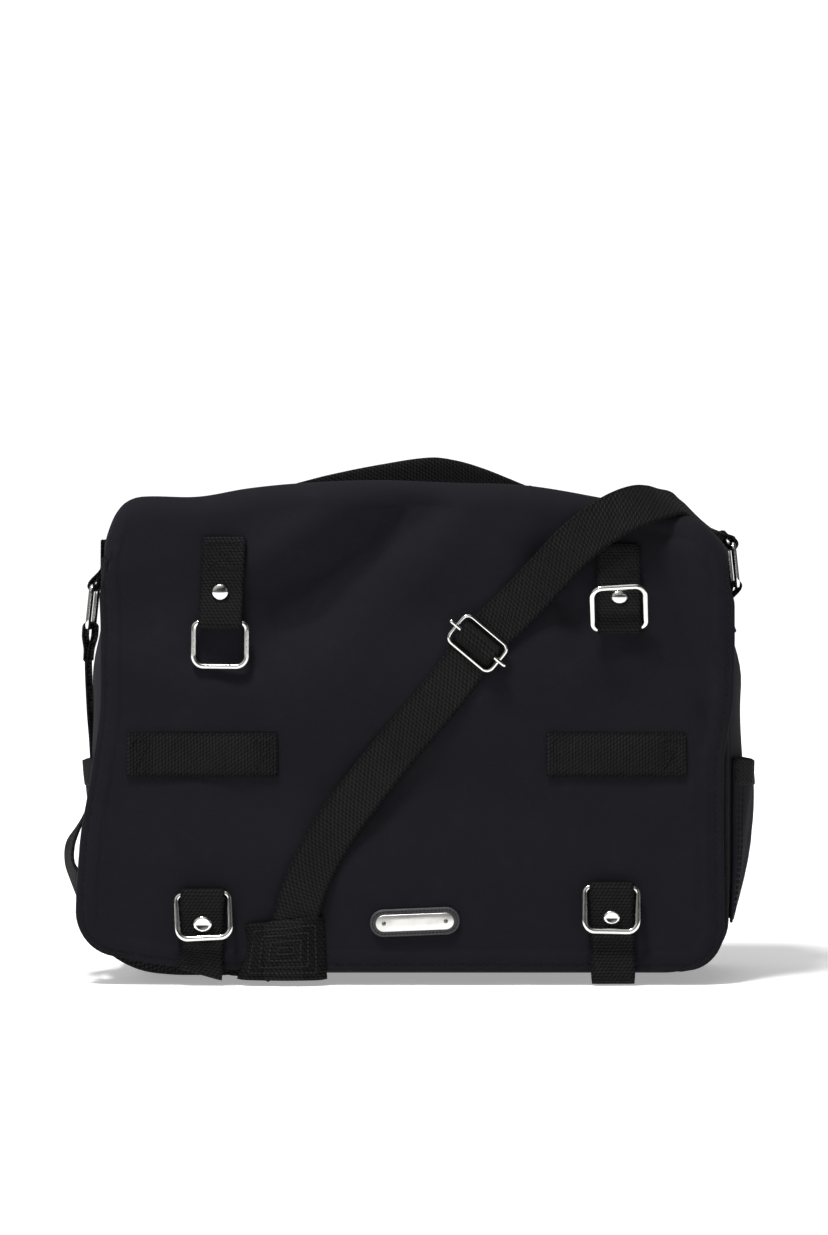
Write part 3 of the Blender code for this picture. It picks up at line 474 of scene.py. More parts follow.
# ---------------------------------------------------------------- materials
class Nodes:
    """Small helper for building a material's nodes."""

    def __init__(self, name):
        self.material = bpy.data.materials.new(name)
        self.material.use_nodes = True
        self.tree = self.material.node_tree
        self.shader = self.tree.nodes["Principled BSDF"]

    def add(self, kind, inputs=(), **settings):
        node = self.tree.nodes.new(kind)
        for key, value in settings.items():
            setattr(node, key, value)
        for key, value in dict(inputs).items():
            self.put(node.inputs[key], value)
        return node

    def put(self, socket, value):
        if isinstance(value, bpy.types.NodeSocket):
            self.tree.links.new(value, socket)
        else:
            socket.default_value = value

    def math(self, operation, a, b=0.0, clamp=False):
        node = self.add("ShaderNodeMath", operation=operation, use_clamp=clamp)
        self.put(node.inputs[0], a)
        self.put(node.inputs[1], b)
        return node.outputs[0]

    def ramp(self, value, low, high, to_low=0.0, to_high=1.0):
        node = self.add("ShaderNodeMapRange", interpolation_type="SMOOTHSTEP")
        self.put(node.inputs["Value"], value)
        self.put(node.inputs["From Min"], low)
        self.put(node.inputs["From Max"], high)
        self.put(node.inputs["To Min"], to_low)
        self.put(node.inputs["To Max"], to_high)
        return node.outputs["Result"]

    def mix(self, share, a, b):
        node = self.add("ShaderNodeMix", data_type="RGBA")
        self.put(node.inputs[0], share)
        self.put(node.inputs[6], a)
        self.put(node.inputs[7], b)
        return node.outputs[2]

    def noise(self, where, scale, detail=3.0, roughness=0.5):
        node = self.add("ShaderNodeTexNoise")
        self.put(node.inputs["Vector"], where)
        node.inputs["Scale"].default_value = scale
        node.inputs["Detail"].default_value = detail
        node.inputs["Roughness"].default_value = roughness
        return node.outputs["Fac"]

    def uv(self):
        node = self.add("ShaderNodeUVMap", uv_map="UVMap")
        split = self.add("ShaderNodeSeparateXYZ")
        self.put(split.inputs[0], node.outputs["UV"])
        return node.outputs["UV"], split.outputs["X"], split.outputs["Y"]

    def place(self):
        return self.add("ShaderNodeTexCoord").outputs["Object"]

    def bump(self, height, distance, strength=1.0, normal=None):
        node = self.add("ShaderNodeBump")
        self.put(node.inputs["Height"], height)
        node.inputs["Distance"].default_value = distance
        node.inputs["Strength"].default_value = strength
        if normal is not None:
            self.put(node.inputs["Normal"], normal)
        return node.outputs["Normal"]


def grey(r, g, b):
    return (r, g, b, 1.0)


def canvas_material(name, dark, light, pitch=0.00075):
    """Plain-woven cotton canvas: warp and weft threads, faint ribs and dust, with painted highlight on the weave's
    raised crossings and painted shade in its gaps.
    """
    n = Nodes(name)
    uv, u, v = n.uv()
    place = n.place()
    turns = 2 * math.pi / pitch
    wobble = n.math("MULTIPLY", n.noise(place, 180.0, 2.0), 1.6)
    warp = n.math("SINE", n.math("ADD", n.math("MULTIPLY", u, turns), wobble))
    weft = n.math("SINE", n.math("ADD", n.math("MULTIPLY", v, turns), wobble))
    weave = n.math("MULTIPLY_ADD", n.math("MULTIPLY", warp, weft), 0.5)
    weave.node.inputs[2].default_value = 0.5
    slub = n.noise(place, 900.0, 2.0)
    patches = n.noise(place, 9.0, 4.0, 0.6)
    dust = n.ramp(n.noise(place, 55.0, 5.0, 0.7), 0.50, 0.80)
    fleck = n.ramp(n.noise(place, 1600.0, 1.0), 0.62, 0.80)
    # painted highlight and painted shade: the weave term makes the raised thread crossings lighter and the gaps between
    # them darker; patches and dust are the cloth's own tone
    shade = n.math("ADD", n.math("MULTIPLY", patches, 0.55), n.math("MULTIPLY", weave, 0.30))
    shade = n.math("ADD", shade, n.math("MULTIPLY", dust, 0.16), clamp=True)
    colour = n.mix(shade, grey(*dark), grey(*light))
    colour = n.mix(n.math("MULTIPLY", fleck, 0.22), colour, grey(*[c * 2.6 for c in light]))
    n.put(n.shader.inputs["Base Color"], colour)
    n.put(n.shader.inputs["Roughness"], n.ramp(patches, 0.3, 0.7, 0.80, 0.94))
    n.shader.inputs["Specular IOR Level"].default_value = 0.10
    n.shader.inputs["Sheen Weight"].default_value = 0.02
    n.shader.inputs["Sheen Roughness"].default_value = 0.45
    n.shader.inputs["Sheen Tint"].default_value = grey(0.62, 0.62, 0.72)
    height = n.math("ADD", n.math("MULTIPLY", weave, 0.7), n.math("MULTIPLY", slub, 0.5))
    first = n.bump(n.noise(place, 60.0, 3.0), 0.0012, 0.35)
    n.put(n.shader.inputs["Normal"], n.bump(height, 0.00016, 0.55, first))
    return n.material


def webbing_material(name, dark, light, across=0.0024, length=0.0030, half_width=0.016):
    """Heavy woven webbing: staggered, slanting raised threads with painted highlight on them and painted shade in the
    dark gaps between them, and a tight edge.
    """
    n = Nodes(name)
    uv, u, v = n.uv()
    place = n.place()
    wobble = n.math("MULTIPLY", n.noise(place, 260.0, 2.0), 0.55)
    rows = n.math("ADD", n.math("DIVIDE", v, length), wobble)
    inside = n.math("FRACT", rows)
    stagger = n.math("MULTIPLY", n.math("PINGPONG", n.math("FLOOR", rows), 1.0), 0.5)
    slant = n.math("MULTIPLY", inside, 0.75)
    columns = n.math("ADD", n.math("ADD", n.math("DIVIDE", u, across), stagger), slant)
    over = n.math("SINE", n.math("MULTIPLY", n.math("FRACT", columns), math.pi))
    along_row = n.math("SINE", n.math("MULTIPLY", inside, math.pi))
    knots = n.math("MULTIPLY", over, along_row)
    high = n.ramp(knots, 0.08, 0.62)
    twist = n.math("SINE", n.math("MULTIPLY", n.math("ADD", u, n.math("MULTIPLY", v, 0.6)), 2 * math.pi / 0.0007))
    twist = n.math("MULTIPLY_ADD", twist, 0.5)
    twist.node.inputs[2].default_value = 0.5
    edge = n.ramp(n.math("ABSOLUTE", u), half_width - 0.0016, half_width - 0.0004)
    # painted highlight and painted shade: the colour follows the raised knots, light on the knots and near black in the
    # gaps; worn spots and the slow tone change are the webbing's own
    shade = n.math("ADD", n.math("MULTIPLY", high, 0.66), n.math("MULTIPLY", twist, 0.10))
    worn = n.math("MULTIPLY", n.noise(place, 170.0, 3.0, 0.6), 0.34)
    shade = n.math("MULTIPLY", n.math("ADD", shade, worn, clamp=True), n.math("ADD", n.noise(place, 18.0, 3.0), 0.5))
    colour = n.mix(shade, grey(*dark), grey(*light))
    colour = n.mix(n.math("MULTIPLY", edge, 0.5), colour, grey(*dark))
    n.put(n.shader.inputs["Base Color"], colour)
    n.put(n.shader.inputs["Roughness"], n.ramp(high, 0.0, 1.0, 0.88, 0.66))
    n.shader.inputs["Specular IOR Level"].default_value = 0.10
    height = n.math("ADD", high, n.math("MULTIPLY", twist, 0.18))
    height = n.math("ADD", height, n.math("MULTIPLY", edge, 0.5))
    n.put(n.shader.inputs["Normal"], n.bump(height, 0.00060, 0.9))
    return n.material


def thread_material(name, dark, light):
    n = Nodes(name)
    uv, u, v = n.uv()
    ply = n.math("SINE", n.math("MULTIPLY", n.math("ADD", u, v), 2 * math.pi / 0.0005))
    shade = n.math("MULTIPLY_ADD", ply, 0.5)
    shade.node.inputs[2].default_value = 0.5
    n.put(n.shader.inputs["Base Color"], n.mix(shade, grey(*dark), grey(*light)))
    n.shader.inputs["Roughness"].default_value = 0.65
    n.shader.inputs["Specular IOR Level"].default_value = 0.15
    n.put(n.shader.inputs["Normal"], n.bump(ply, 0.00010, 0.6))
    return n.material


def leather_material():
    n = Nodes("leather_patch")
    place = n.place()
    cells = n.add("ShaderNodeTexVoronoi", feature="DISTANCE_TO_EDGE")
    n.put(cells.inputs["Vector"], place)
    cells.inputs["Scale"].default_value = 1500.0
    grain = n.ramp(cells.outputs["Distance"], 0.0, 0.22)
    cloud = n.noise(place, 120.0, 4.0)
    colour = n.mix(cloud, grey(0.030, 0.030, 0.033), grey(0.062, 0.062, 0.066))
    n.put(n.shader.inputs["Base Color"], n.mix(grain, grey(0.016, 0.016, 0.018), colour))
    n.put(n.shader.inputs["Roughness"], n.ramp(cloud, 0.3, 0.7, 0.42, 0.60))
    n.shader.inputs["Specular IOR Level"].default_value = 0.45
    n.put(n.shader.inputs["Normal"], n.bump(grain, 0.00012, 0.5))
    return n.material


def metal_material(name, base, low, high, brushed=0.0):
    """Plated metal with faint scratches and duller, handled spots."""
    n = Nodes(name)
    place = n.place()
    spots = n.noise(place, 70.0, 5.0, 0.6)
    fine = n.noise(place, 900.0, 2.0)
    stretch = n.add("ShaderNodeMapping")
    n.put(stretch.inputs["Vector"], place)
    stretch.inputs["Scale"].default_value = (40.0, 2500.0, 2500.0)
    scratch = n.noise(stretch.outputs["Vector"], 1.0, 2.0)
    tone = n.mix(n.ramp(spots, 0.35, 0.75), grey(*base), grey(*[c * 0.80 for c in base]))
    n.put(n.shader.inputs["Base Color"], tone)
    n.shader.inputs["Metallic"].default_value = 1.0
    n.put(n.shader.inputs["Roughness"], n.ramp(spots, 0.3, 0.8, low, high))
    height = n.math("ADD", n.math("MULTIPLY", scratch, brushed), n.math("MULTIPLY", fine, 0.15))
    n.put(n.shader.inputs["Normal"], n.bump(height, 0.00003, 0.5))
    return n.material


CANVAS = canvas_material("canvas", (0.0028, 0.0026, 0.0040), (0.0128, 0.0119, 0.0163))
LINING = canvas_material("lining", (0.012, 0.012, 0.014), (0.028, 0.028, 0.031), 0.0005)
STRAP = webbing_material("strap_webbing", (0.0006, 0.0006, 0.0006), (0.0130, 0.0130, 0.0128), 0.0027, 0.0021, 0.0125)
TAB_WEB = webbing_material("tab_webbing", (0.0007, 0.0007, 0.0008), (0.0118, 0.0116, 0.0128), 0.0025, 0.0019, 0.0125)
PIPING = webbing_material("piping_tape", (0.0040, 0.0040, 0.0045), (0.0160, 0.0155, 0.0175), 0.0012, 0.0012, 0.05)
THREAD = thread_material("thread", (0.0020, 0.0020, 0.0024), (0.0110, 0.0108, 0.0125))
PALE_THREAD = thread_material("pale_thread", (0.006, 0.006, 0.008), (0.034, 0.034, 0.040))
LEATHER = leather_material()
NICKEL = metal_material("nickel", (0.78, 0.77, 0.74), 0.10, 0.24, 0.15)
SILVER = metal_material("silver_plate", (0.76, 0.75, 0.72), 0.30, 0.42, 1.0)
PIN = metal_material("dark_pin", (0.16, 0.155, 0.15), 0.25, 0.45, 0.2)

stitches = {"bag": Stitches(), "flap": Stitches(), "patch": Stitches()}


def add_piece(obj, body, slot, *nodes):
    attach(obj, body)
    if nodes:
        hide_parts(*nodes)
    return obj


# ---------------------------------------------------------------- flap
TOP_MIDDLE = 0.0012
TOP_HALF = 0.1868


def spaced_shares(edge, fine, coarse, half):
    """Shares from -1 to 1 across a width, close together near both edges."""
    steps = []
    at = -half
    while at < half:
        steps.append(at / half)
        near = min(at + half, half - at)
        at += fine if near < edge else coarse
    steps.append(1.0)
    return steps


def build_flap():
    columns = spaced_shares(0.014, 0.0011, 0.0030, 0.190)
    grid, lines = [], []
    runs = []
    y = HINGE.y
    while y > BEND_Y:
        runs.append(BEND_Y - BEND_LENGTH - y)
        y -= 0.0034
    runs += [-BEND_LENGTH * (1 - k / 12) for k in range(12)]
    for run in runs:
        row = []
        back_y = BEND_Y - run - BEND_LENGTH
        drawn_in = 0.0092 * smooth(0.010, HINGE.y, back_y)
        for share in columns:
            x = TOP_MIDDLE + share * (TOP_HALF - drawn_in)
            row.append(flap_point(x, run, -FLAP_THICKNESS / 2))
        grid.append(row)
        lines.append([run] * len(columns))
    heights = [k / 88 for k in range(89)]
    shares_down = [h * 0.95 for h in heights] + [0.95 + 0.05 * (k / 14) for k in range(1, 15)]
    for down in shares_down:
        row, line = [], []
        for share in columns:
            x = 0.19 * share
            for _ in range(3):
                top = along(RIDGE, x) - RIDGE_BEND
                low = along(LOWER_EDGE, x)
                z = top + (low - top) * down
                left, right = along(LEFT_EDGE, z), along(RIGHT_EDGE, z)
                top_left, top_right = TOP_MIDDLE - TOP_HALF, TOP_MIDDLE + TOP_HALF
                start_left = top_left + (left - top_left) * smooth(0, 0.05, down)
                start_right = top_right + (right - top_right) * smooth(0, 0.05, down)
                middle, half = (start_left + start_right) / 2, (start_right - start_left) / 2
                above = (top - low) * (1 - down)
                if above < CORNER:
                    half -= CORNER - math.sqrt(max(CORNER**2 - (CORNER - above) ** 2, 0.0))
                x = middle + half * share
            point = Vector((x, FRONT_Y + FLAP_THICKNESS / 2 - relief(x, z), z))
            point.y -= hem_relief(x, z)
            row.append(point)
            line.append(top - z)
        grid.append(row)
        lines.append(line)

    def uv(i, j):
        return (grid[i][j].x, lines[i][j])

    obj = thick_grid("flap_canvas", grid, uv, FLAP_THICKNESS, CANVAS)
    add_piece(obj, "flap", "canvas", "flap")
    return grid


def edge_distance(x, z):
    """Distance in from the flap's edge on the front."""
    left, right = along(LEFT_EDGE, z), along(RIGHT_EDGE, z)
    low = along(LOWER_EDGE, x)
    a = min(x - left, right - x)
    b = z - low
    if a < CORNER and b < CORNER:
        return CORNER - math.hypot(CORNER - a, CORNER - b)
    return min(a, b)


HEM = 0.0034


def hem_relief(x, z):
    """The doubled hem stands out a little, and the stitch line pulls in."""
    inside = edge_distance(x, z)
    if inside > 0.03:
        return 0.0
    padding = 0.0008 * (1 - smooth(0.0095, 0.0125, inside)) * (1 - 0.6 * hump(inside, 0.0012))
    groove = 0.0006 * hump(inside - HEM, 0.0010)
    pucker = 0.0003 * math.sin((x + z) * 2 * math.pi / 0.0110) * hump(inside - 0.007, 0.0050)
    return padding - groove + pucker


def hem_path(inset):
    """Points along the flap's hem at a distance in from its edge, from the upper left round to the upper right."""
    points = []
    z = 0.258
    while z > 0.060:
        points.append((along(LEFT_EDGE, z) + inset, z))
        z -= 0.004
    radius = CORNER - inset
    low = along(LOWER_EDGE, -0.170)
    centre = (along(LEFT_EDGE, low + CORNER) + CORNER, low + CORNER)
    for k in range(9):
        angle = math.pi + k * math.pi / 16
        points.append((centre[0] + radius * math.cos(angle), centre[1] + radius * math.sin(angle)))
    x = centre[0] + 0.006
    right_centre = (along(RIGHT_EDGE, 0.008 + CORNER) - CORNER, along(LOWER_EDGE, 0.150) + CORNER)
    while x < right_centre[0]:
        points.append((x, along(LOWER_EDGE, x) + inset))
        x += 0.006
    for k in range(9):
        angle = 1.5 * math.pi + k * math.pi / 16
        points.append((right_centre[0] + radius * math.cos(angle), right_centre[1] + radius * math.sin(angle)))
    z = right_centre[1] + 0.004
    while z < 0.254:
        points.append((along(RIGHT_EDGE, z) - inset, z))
        z += 0.004
    return points


def stitch_hem():
    for inset in (HEM,):
        points = []
        for x, z in hem_path(inset):
            y = FRONT_Y - relief(x, z) - hem_relief(x, z)
            points.append(Vector((x, y - 0.0001, z)))
        stitches["flap"].line(points, lambda i: Vector((0, -1, 0)))


# ---------------------------------------------------------------- webbing tabs and strips
def tab_grid(x, bar_y, bar_z, end_z, out, skin, columns=9):
    """Centre line of a webbing fold round a bar: the back layer, the turn and the front layer."""
    up = 1 if end_z > bar_z else -1
    radius = WIRE + GAP + WEB / 2
    line = []
    back = skin + out * WEB / 2
    count = 10
    for k in range(count):
        share = k / count
        line.append((back + (bar_y - out * radius - back) * smooth(0.45, 1, share), end_z + (bar_z - end_z) * share))
    for k in range(13):
        angle = math.pi * k / 12
        line.append((bar_y - out * radius * math.cos(angle), bar_z - up * radius * math.sin(angle)))
    front = back + out * (WEB + GAP)
    for k in range(1, count + 5):
        share = k / (count + 4)
        settle = smooth(0.0, 0.42, share)
        line.append((bar_y + out * radius + (front - bar_y - out * radius) * settle, bar_z + (end_z - bar_z) * share))
    return line


def box_stitch(thread, x_low, x_high, z_low, z_high, y_at, cross=True):
    """A sewn box with a cross in it, on a face that looks along -Y."""
    out = Vector((0, -1, 0))
    corners = [(x_low, z_low), (x_high, z_low), (x_high, z_high), (x_low, z_high), (x_low, z_low)]
    routes = [corners]
    if cross:
        routes.append([(x_low, z_low), (x_high, z_high)])
        routes.append([(x_low, z_high), (x_high, z_low)])
    for route in routes:
        for (ax, az), (bx, bz) in zip(route, route[1:]):
            count = 6
            points = []
            for k in range(count + 1):
                px, pz = ax + (bx - ax) * k / count, az + (bz - az) * k / count
                points.append(Vector((px, y_at(px, pz), pz)))
            thread.line(points, lambda i: out, pitch=0.0028, radius=0.00034)


def build_tab(name):
    x, bar_z, end_z = TABS[name]
    skin = FRONT_Y - GAP
    bar_y = skin - (WIRE + GAP + 0.0014)
    line = tab_grid(x, bar_y, bar_z, end_z, -1, skin)
    lean = {"upper_left": 0.045, "upper_right": -0.01, "lower_left": 0.03, "lower_right": -0.02}[name]
    grid, distances, total = [], [], 0.0
    last = None
    columns = 11
    for k, (y, z) in enumerate(line):
        if last is not None:
            total += math.hypot(y - last[0], z - last[1])
        last = (y, z)
        row = []
        for j in range(columns):
            share = 2 * j / (columns - 1) - 1
            shift = lean * (z - bar_z)
            px = x + shift + share * TAB_WIDTH / 2
            lifted = 0.0
            if abs(z - bar_z) > 0.010:
                lifted = relief(px, z) * smooth(0.010, 0.022, abs(z - bar_z)) + hem_relief(px, z)
                lifted = max(lifted, 0.0) if z < 0.02 else lifted
            if z < 0.008:
                lifted -= 0.0022 * smooth(0.010, 0.001, z)
            cut = 0.0068 * (0.5 - share / 2) * (1 - smooth(0.0035, 0.030, z)) if name == "lower_left" else 0.0
            row.append(Vector((px, y - lifted, z + cut)))
        grid.append(row)
        distances.append(total)

    def uv(i, j):
        return ((2 * j / (columns - 1) - 1) * TAB_WIDTH / 2, distances[i])

    obj = thick_grid("tab_webbing_" + name, grid, uv, WEB, TAB_WEB)
    add_piece(obj, "flap", "webbing", "tab_" + name)
    thread = stitches["flap"]

    def face(px, pz):
        lifted = relief(px, pz) * smooth(0.010, 0.022, abs(pz - bar_z)) + hem_relief(px, pz)
        return skin - 2 * WEB - GAP - 0.00012 - lifted

    half = TAB_WIDTH / 2 - 0.0026
    if name.startswith("upper"):
        top = end_z - 0.0024
        middle = x + lean * (top - 0.008 - bar_z)
        box_stitch(thread, middle - half, middle + half, top - 0.0155, top, face)
    else:
        low = 0.0125
        middle = x + lean * (low - bar_z)
        for z in (0.0265, 0.0120):
            points = [Vector((middle + half * s, face(middle + half * s, z), z)) for s in (-1, -0.5, 0, 0.5, 1)]
            thread.line(points, lambda i: Vector((0, -1, 0)), pitch=0.0028)


def build_lash_strip(name, low, high):
    """A flat strip sewn to the flap at both ends and standing off a little between them."""
    columns, rows = 9, 30
    z_middle = (low.z + high.z) / 2
    half = (high.z - low.z) / 2
    grid = []
    for i in range(rows + 1):
        x = low.x + (high.x - low.x) * i / rows
        row = []
        ends = min(x - low.x, high.x - x)
        raised = 0.0009 * smooth(0.010, 0.022, ends) + 0.0004 * math.sin(x * 160)
        for j in range(columns):
            share = 2 * j / (columns - 1) - 1
            z = z_middle - share * half
            row.append(Vector((x, FRONT_Y - relief(x, z) - GAP - WEB / 2 - raised * (1 - share**4), z)))
        grid.append(row)

    def uv(i, j):
        return ((2 * j / (columns - 1) - 1) * half, (high.x - low.x) * i / rows)

    obj = thick_grid("lash_webbing_" + name, [row[::-1] for row in grid], lambda i, j: uv(i, columns - 1 - j), WEB, TAB_WEB)
    add_piece(obj, "flap", "webbing", "lash_strip_" + name)

    def face(x, z):
        return FRONT_Y - relief(x, z) - GAP - WEB - 0.0002

    for start, end in ((low.x + 0.0025, low.x + 0.014), (high.x - 0.014, high.x - 0.0025)):
        box_stitch(stitches["flap"], start, end, low.z + 0.003, high.z - 0.003, face)


# ---------------------------------------------------------------- rings, rivets and slider
def ring_loop(centre, down, across, half, span, far_corner, near_corner, arc=8):
    """Corner-rounded loop hung from its bar's centre. Its corners beside the bar are tighter."""
    points = []
    for index, (s, d) in enumerate(((1, 0), (1, 1), (-1, 1), (-1, 0))):
        corner = far_corner if d else near_corner
        place = centre + across * (s * half) + down * (d * span)
        into = across * -s
        way = down if d == 0 else down * -1
        start, finish = (into, way) if index in (0, 2) else (way, into)
        for step in range(arc + 1):
            angle = math.pi / 2 * step / arc
            points.append(place + start * corner * (1 - math.sin(angle)) + finish * corner * (1 - math.cos(angle)))
    dense = []
    count = len(points)
    for k in range(count):
        a, b = points[k], points[(k + 1) % count]
        pieces = max(int((b - a).length / 0.0015), 1)
        dense += [a + (b - a) * (m / pieces) for m in range(pieces)]
    return dense


def build_front_ring(name):
    x, bar_z, _ = TABS[name]
    bar = Vector((x, FRONT_Y - GAP - (WIRE + GAP + 0.0014), bar_z))
    angle = {"upper_left": 0.0, "upper_right": math.radians(22), "lower_left": math.radians(8),
             "lower_right": math.radians(8)}[name]
    up = 1 if name == "upper_right" else -1
    down = Vector((0, -math.sin(angle), up * math.cos(angle)))
    tilt = {"upper_left": 0.01, "upper_right": -0.06, "lower_left": -0.05, "lower_right": 0.02}[name]
    across = Vector((math.cos(tilt), 0, -math.sin(tilt)))
    down = Vector((up * math.sin(tilt) * math.cos(angle), down.y, down.z * math.cos(tilt)))
    points = ring_loop(bar, down, across, 0.0159, 0.026, 0.0062, 0.0034)
    obj = tube("ring_wire_" + name, points, 0.00175, True, 18, NICKEL)
    add_piece(obj, "ring_" + name, "nickel", "ring_" + name)


DOME = (
    (0.0, 1.0), (0.25, 0.985), (0.5, 0.92), (0.72, 0.80), (0.86, 0.62), (0.95, 0.38), (1.0, 0.12),
    (1.0, -0.30), (0.90, -0.42), (0.0, -0.42),
)


def build_studs():
    for name in ("rivet_upper_left", "rivet_upper_right", "stud_lower_left", "stud_lower_right"):
        low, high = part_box(name)
        centre = (low + high) / 2
        radius = (high.x - low.x) / 2
        height = (high.y - low.y)
        profile = [(r * radius, h * height * 0.82) for r, h in DOME]
        if name.startswith("stud"):
            profile = [(0.0, height * 0.55), (radius * 0.45, height * 0.60), (radius * 0.62, height * 0.74),
                       (radius * 0.74, height * 0.80), (radius * 0.86, height * 0.70), (radius * 0.96, height * 0.40),
                       (radius, height * 0.05), (radius, -height * 0.30), (radius * 0.9, -height * 0.42),
                       (0.0, -height * 0.42)]
        base = high.y
        place = Vector((centre.x, base - height * 0.30, centre.z))
        squat = Matrix.Diagonal((1.0, 1.0 if name == "rivet_upper_left" else 0.82, 1.0, 1.0))
        obj = spun(name + "_cap", profile, place, FACE_OUT @ squat, 40, NICKEL)
        add_piece(obj, "flap", "nickel", name)


def build_slider():
    low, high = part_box("slider_frame")
    centre = (low + high) / 2
    lean = math.radians(50)
    way = Vector((math.cos(lean), 0, math.sin(lean)))
    across = Vector((math.sin(lean), 0, -math.cos(lean)))
    wire = (high.y - low.y) / 2
    half_across, half_along, corner = 0.0163, 0.0098, 0.0042
    points = []
    for quarter, (s, a) in enumerate(((1, 1), (-1, 1), (-1, -1), (1, -1))):
        middle = centre + across * s * (half_across - corner) + way * a * (half_along - corner)
        for step in range(9):
            angle = quarter * math.pi / 2 + step * math.pi / 16
            points.append(middle + corner * (across * math.cos(angle) + way * math.sin(angle)))
    dense = []
    for k in range(len(points)):
        a, b = points[k], points[(k + 1) % len(points)]
        pieces = max(int((b - a).length / 0.0015), 1)
        dense += [a + (b - a) * (m / pieces) for m in range(pieces)]
    add_piece(tube("slider_wire", dense, wire, True, 16, NICKEL), "slider", "nickel", "slider_frame")
    bar_low, bar_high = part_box("slider_bar")
    bar_centre = (bar_low + bar_high) / 2
    bar_points = []
    for k in range(25):
        share = 2 * k / 24 - 1
        bar_points.append(bar_centre + across * share * 0.0215)
    obj = tube("slider_rod", bar_points, lambda i: wire * (0.75 if i in (0, 24) else 1.0), False, 16, NICKEL)
    add_piece(obj, "slider", "nickel", "slider_bar")
    wrap = []
    for k in range(21):
        share = k / 20
        s = (share - 0.5) * 2
        rise = 1 - smooth(0.28, 1.0, abs(s))
        y = (centre.y + wire + 0.0013) * (1 - rise) + (bar_centre.y - wire - 0.0014) * rise
        wrap.append((Vector((centre.x, 0, centre.z)) + way * (s * 0.0078) + Vector((0, y, 0)), across))
    obj = band("slider_wrap", wrap, STRAP_WIDTH - 0.0008, STRAP_THICKNESS, STRAP, 13)
    add_piece(obj, "slider", "webbing")


# ---------------------------------------------------------------- badge
def stadium_points(length, height, count=16):
    radius = height / 2
    straight = length / 2 - radius
    points = []
    for side, start in ((1, -math.pi / 2), (-1, math.pi / 2)):
        for step in range(count + 1):
            angle = start + math.pi * step / count
            points.append((side * straight + radius * math.cos(angle), radius * math.sin(angle)))
    return points


def bevelled_plate(name, length, height, back_y, front_y, bevel, matrix, material, dish=0.0):
    """A stadium-shaped plate with rounded edges, facing -Y."""
    levels = ((0.0, back_y), (0.0, front_y + bevel), (bevel * 0.3, front_y + bevel * 0.3), (bevel, front_y))
    vertices, uvs, rings = [], [], []
    for inset, y in levels:
        ring = []
        for u, v in stadium_points(length - 2 * inset, height - 2 * inset):
            ring.append(len(vertices))
            vertices.append(matrix @ Vector((u, y, v)))
            uvs.append((u, v))
        rings.append(ring)
    faces = []
    count = len(rings[0])
    for a, b in zip(rings, rings[1:]):
        for k in range(count):
            n = (k + 1) % count
            faces.append((a[k], a[n], b[n], b[k]))
    inner = []
    for u, v in stadium_points((length - 2 * bevel) * 0.55, (height - 2 * bevel) * 0.3):
        inner.append(len(vertices))
        vertices.append(matrix @ Vector((u, front_y + dish, v)))
        uvs.append((u, v))
    for k in range(count):
        n = (k + 1) % count
        faces.append((rings[-1][k], rings[-1][n], inner[n], inner[k]))
    faces.append(tuple(inner))
    faces.append(tuple(rings[0])[::-1])
    return new_object(name, vertices, faces, uvs, material)


def build_badge():
    low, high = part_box("badge_backing")
    centre = (low + high) / 2
    tilt = math.radians(2.3)
    matrix = Matrix.Translation((centre.x, 0, centre.z)) @ Matrix.Rotation(-tilt, 4, "Y")
    back = bevelled_plate("badge_leather", 0.054, 0.0165, high.y, low.y, 0.0009, matrix, LEATHER)
    add_piece(back, "flap", "leather", "badge_backing")
    plate_low, plate_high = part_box("badge_plate")
    plate = bevelled_plate("badge_metal", 0.047, 0.010, plate_high.y, plate_low.y, 0.0004, matrix, SILVER)
    add_piece(plate, "flap", "silver", "badge_plate")
    for side, name in ((-1, "left"), (1, "right")):
        pin_low, pin_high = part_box("badge_pin_" + name)
        middle = (pin_low + pin_high) / 2
        height = pin_high.y - pin_low.y
        profile = [(r * 0.00125, h * height * 0.9) for r, h in DOME]
        place = Vector((middle.x, pin_high.y - height * 0.2, middle.z))
        pin = spun("badge_rivet_" + name, profile, place, FACE_OUT, 24, PIN)
        add_piece(pin, "flap", "nickel", "badge_pin_" + name)
    route = [matrix @ Vector((u, low.y - 0.00015, v)) for u, v in stadium_points(0.0510, 0.0135)]
    stitches["flap"].line(route + [route[0]], lambda i: Vector((0, -1, 0)), pitch=0.0022, radius=0.00026)


# ---------------------------------------------------------------- body of the bag
HALF_WIDTH = 0.190
BODY_CORNER = 0.035
PIPING_INSET = 0.0031


def u_path(inset, top_left, top_right, spacing=0.006):
    """The bag's outline from the front: down the left side, round the bottom and up the right."""
    half = HALF_WIDTH - inset
    radius = BODY_CORNER - inset
    centre = HALF_WIDTH - BODY_CORNER
    points = []
    z = top_left
    while z > BODY_CORNER:
        points.append((-half, z))
        z -= spacing
    for k in range(13):
        angle = math.pi + k * math.pi / 24
        points.append((-centre + radius * math.cos(angle), BODY_CORNER + radius * math.sin(angle)))
    x = -centre + spacing
    while x < centre - spacing / 2:
        points.append((x, inset))
        x += spacing
    for k in range(13):
        angle = 1.5 * math.pi + k * math.pi / 24
        points.append((centre + radius * math.cos(angle), BODY_CORNER + radius * math.sin(angle)))
    z = BODY_CORNER + spacing
    while z < top_right:
        points.append((half, z))
        z += spacing
    points.append((half, top_right))
    return points


def side_top(x):
    """How high the bag's side walls reach under the flap's rounded shoulders."""
    return along(RIDGE, x) - 0.0100


def bottom_rise(y):
    """The soft bottom edges curl up towards the front and back seams."""
    return 0.0072 * min(abs(y) / 0.050, 1.0) ** 1.15


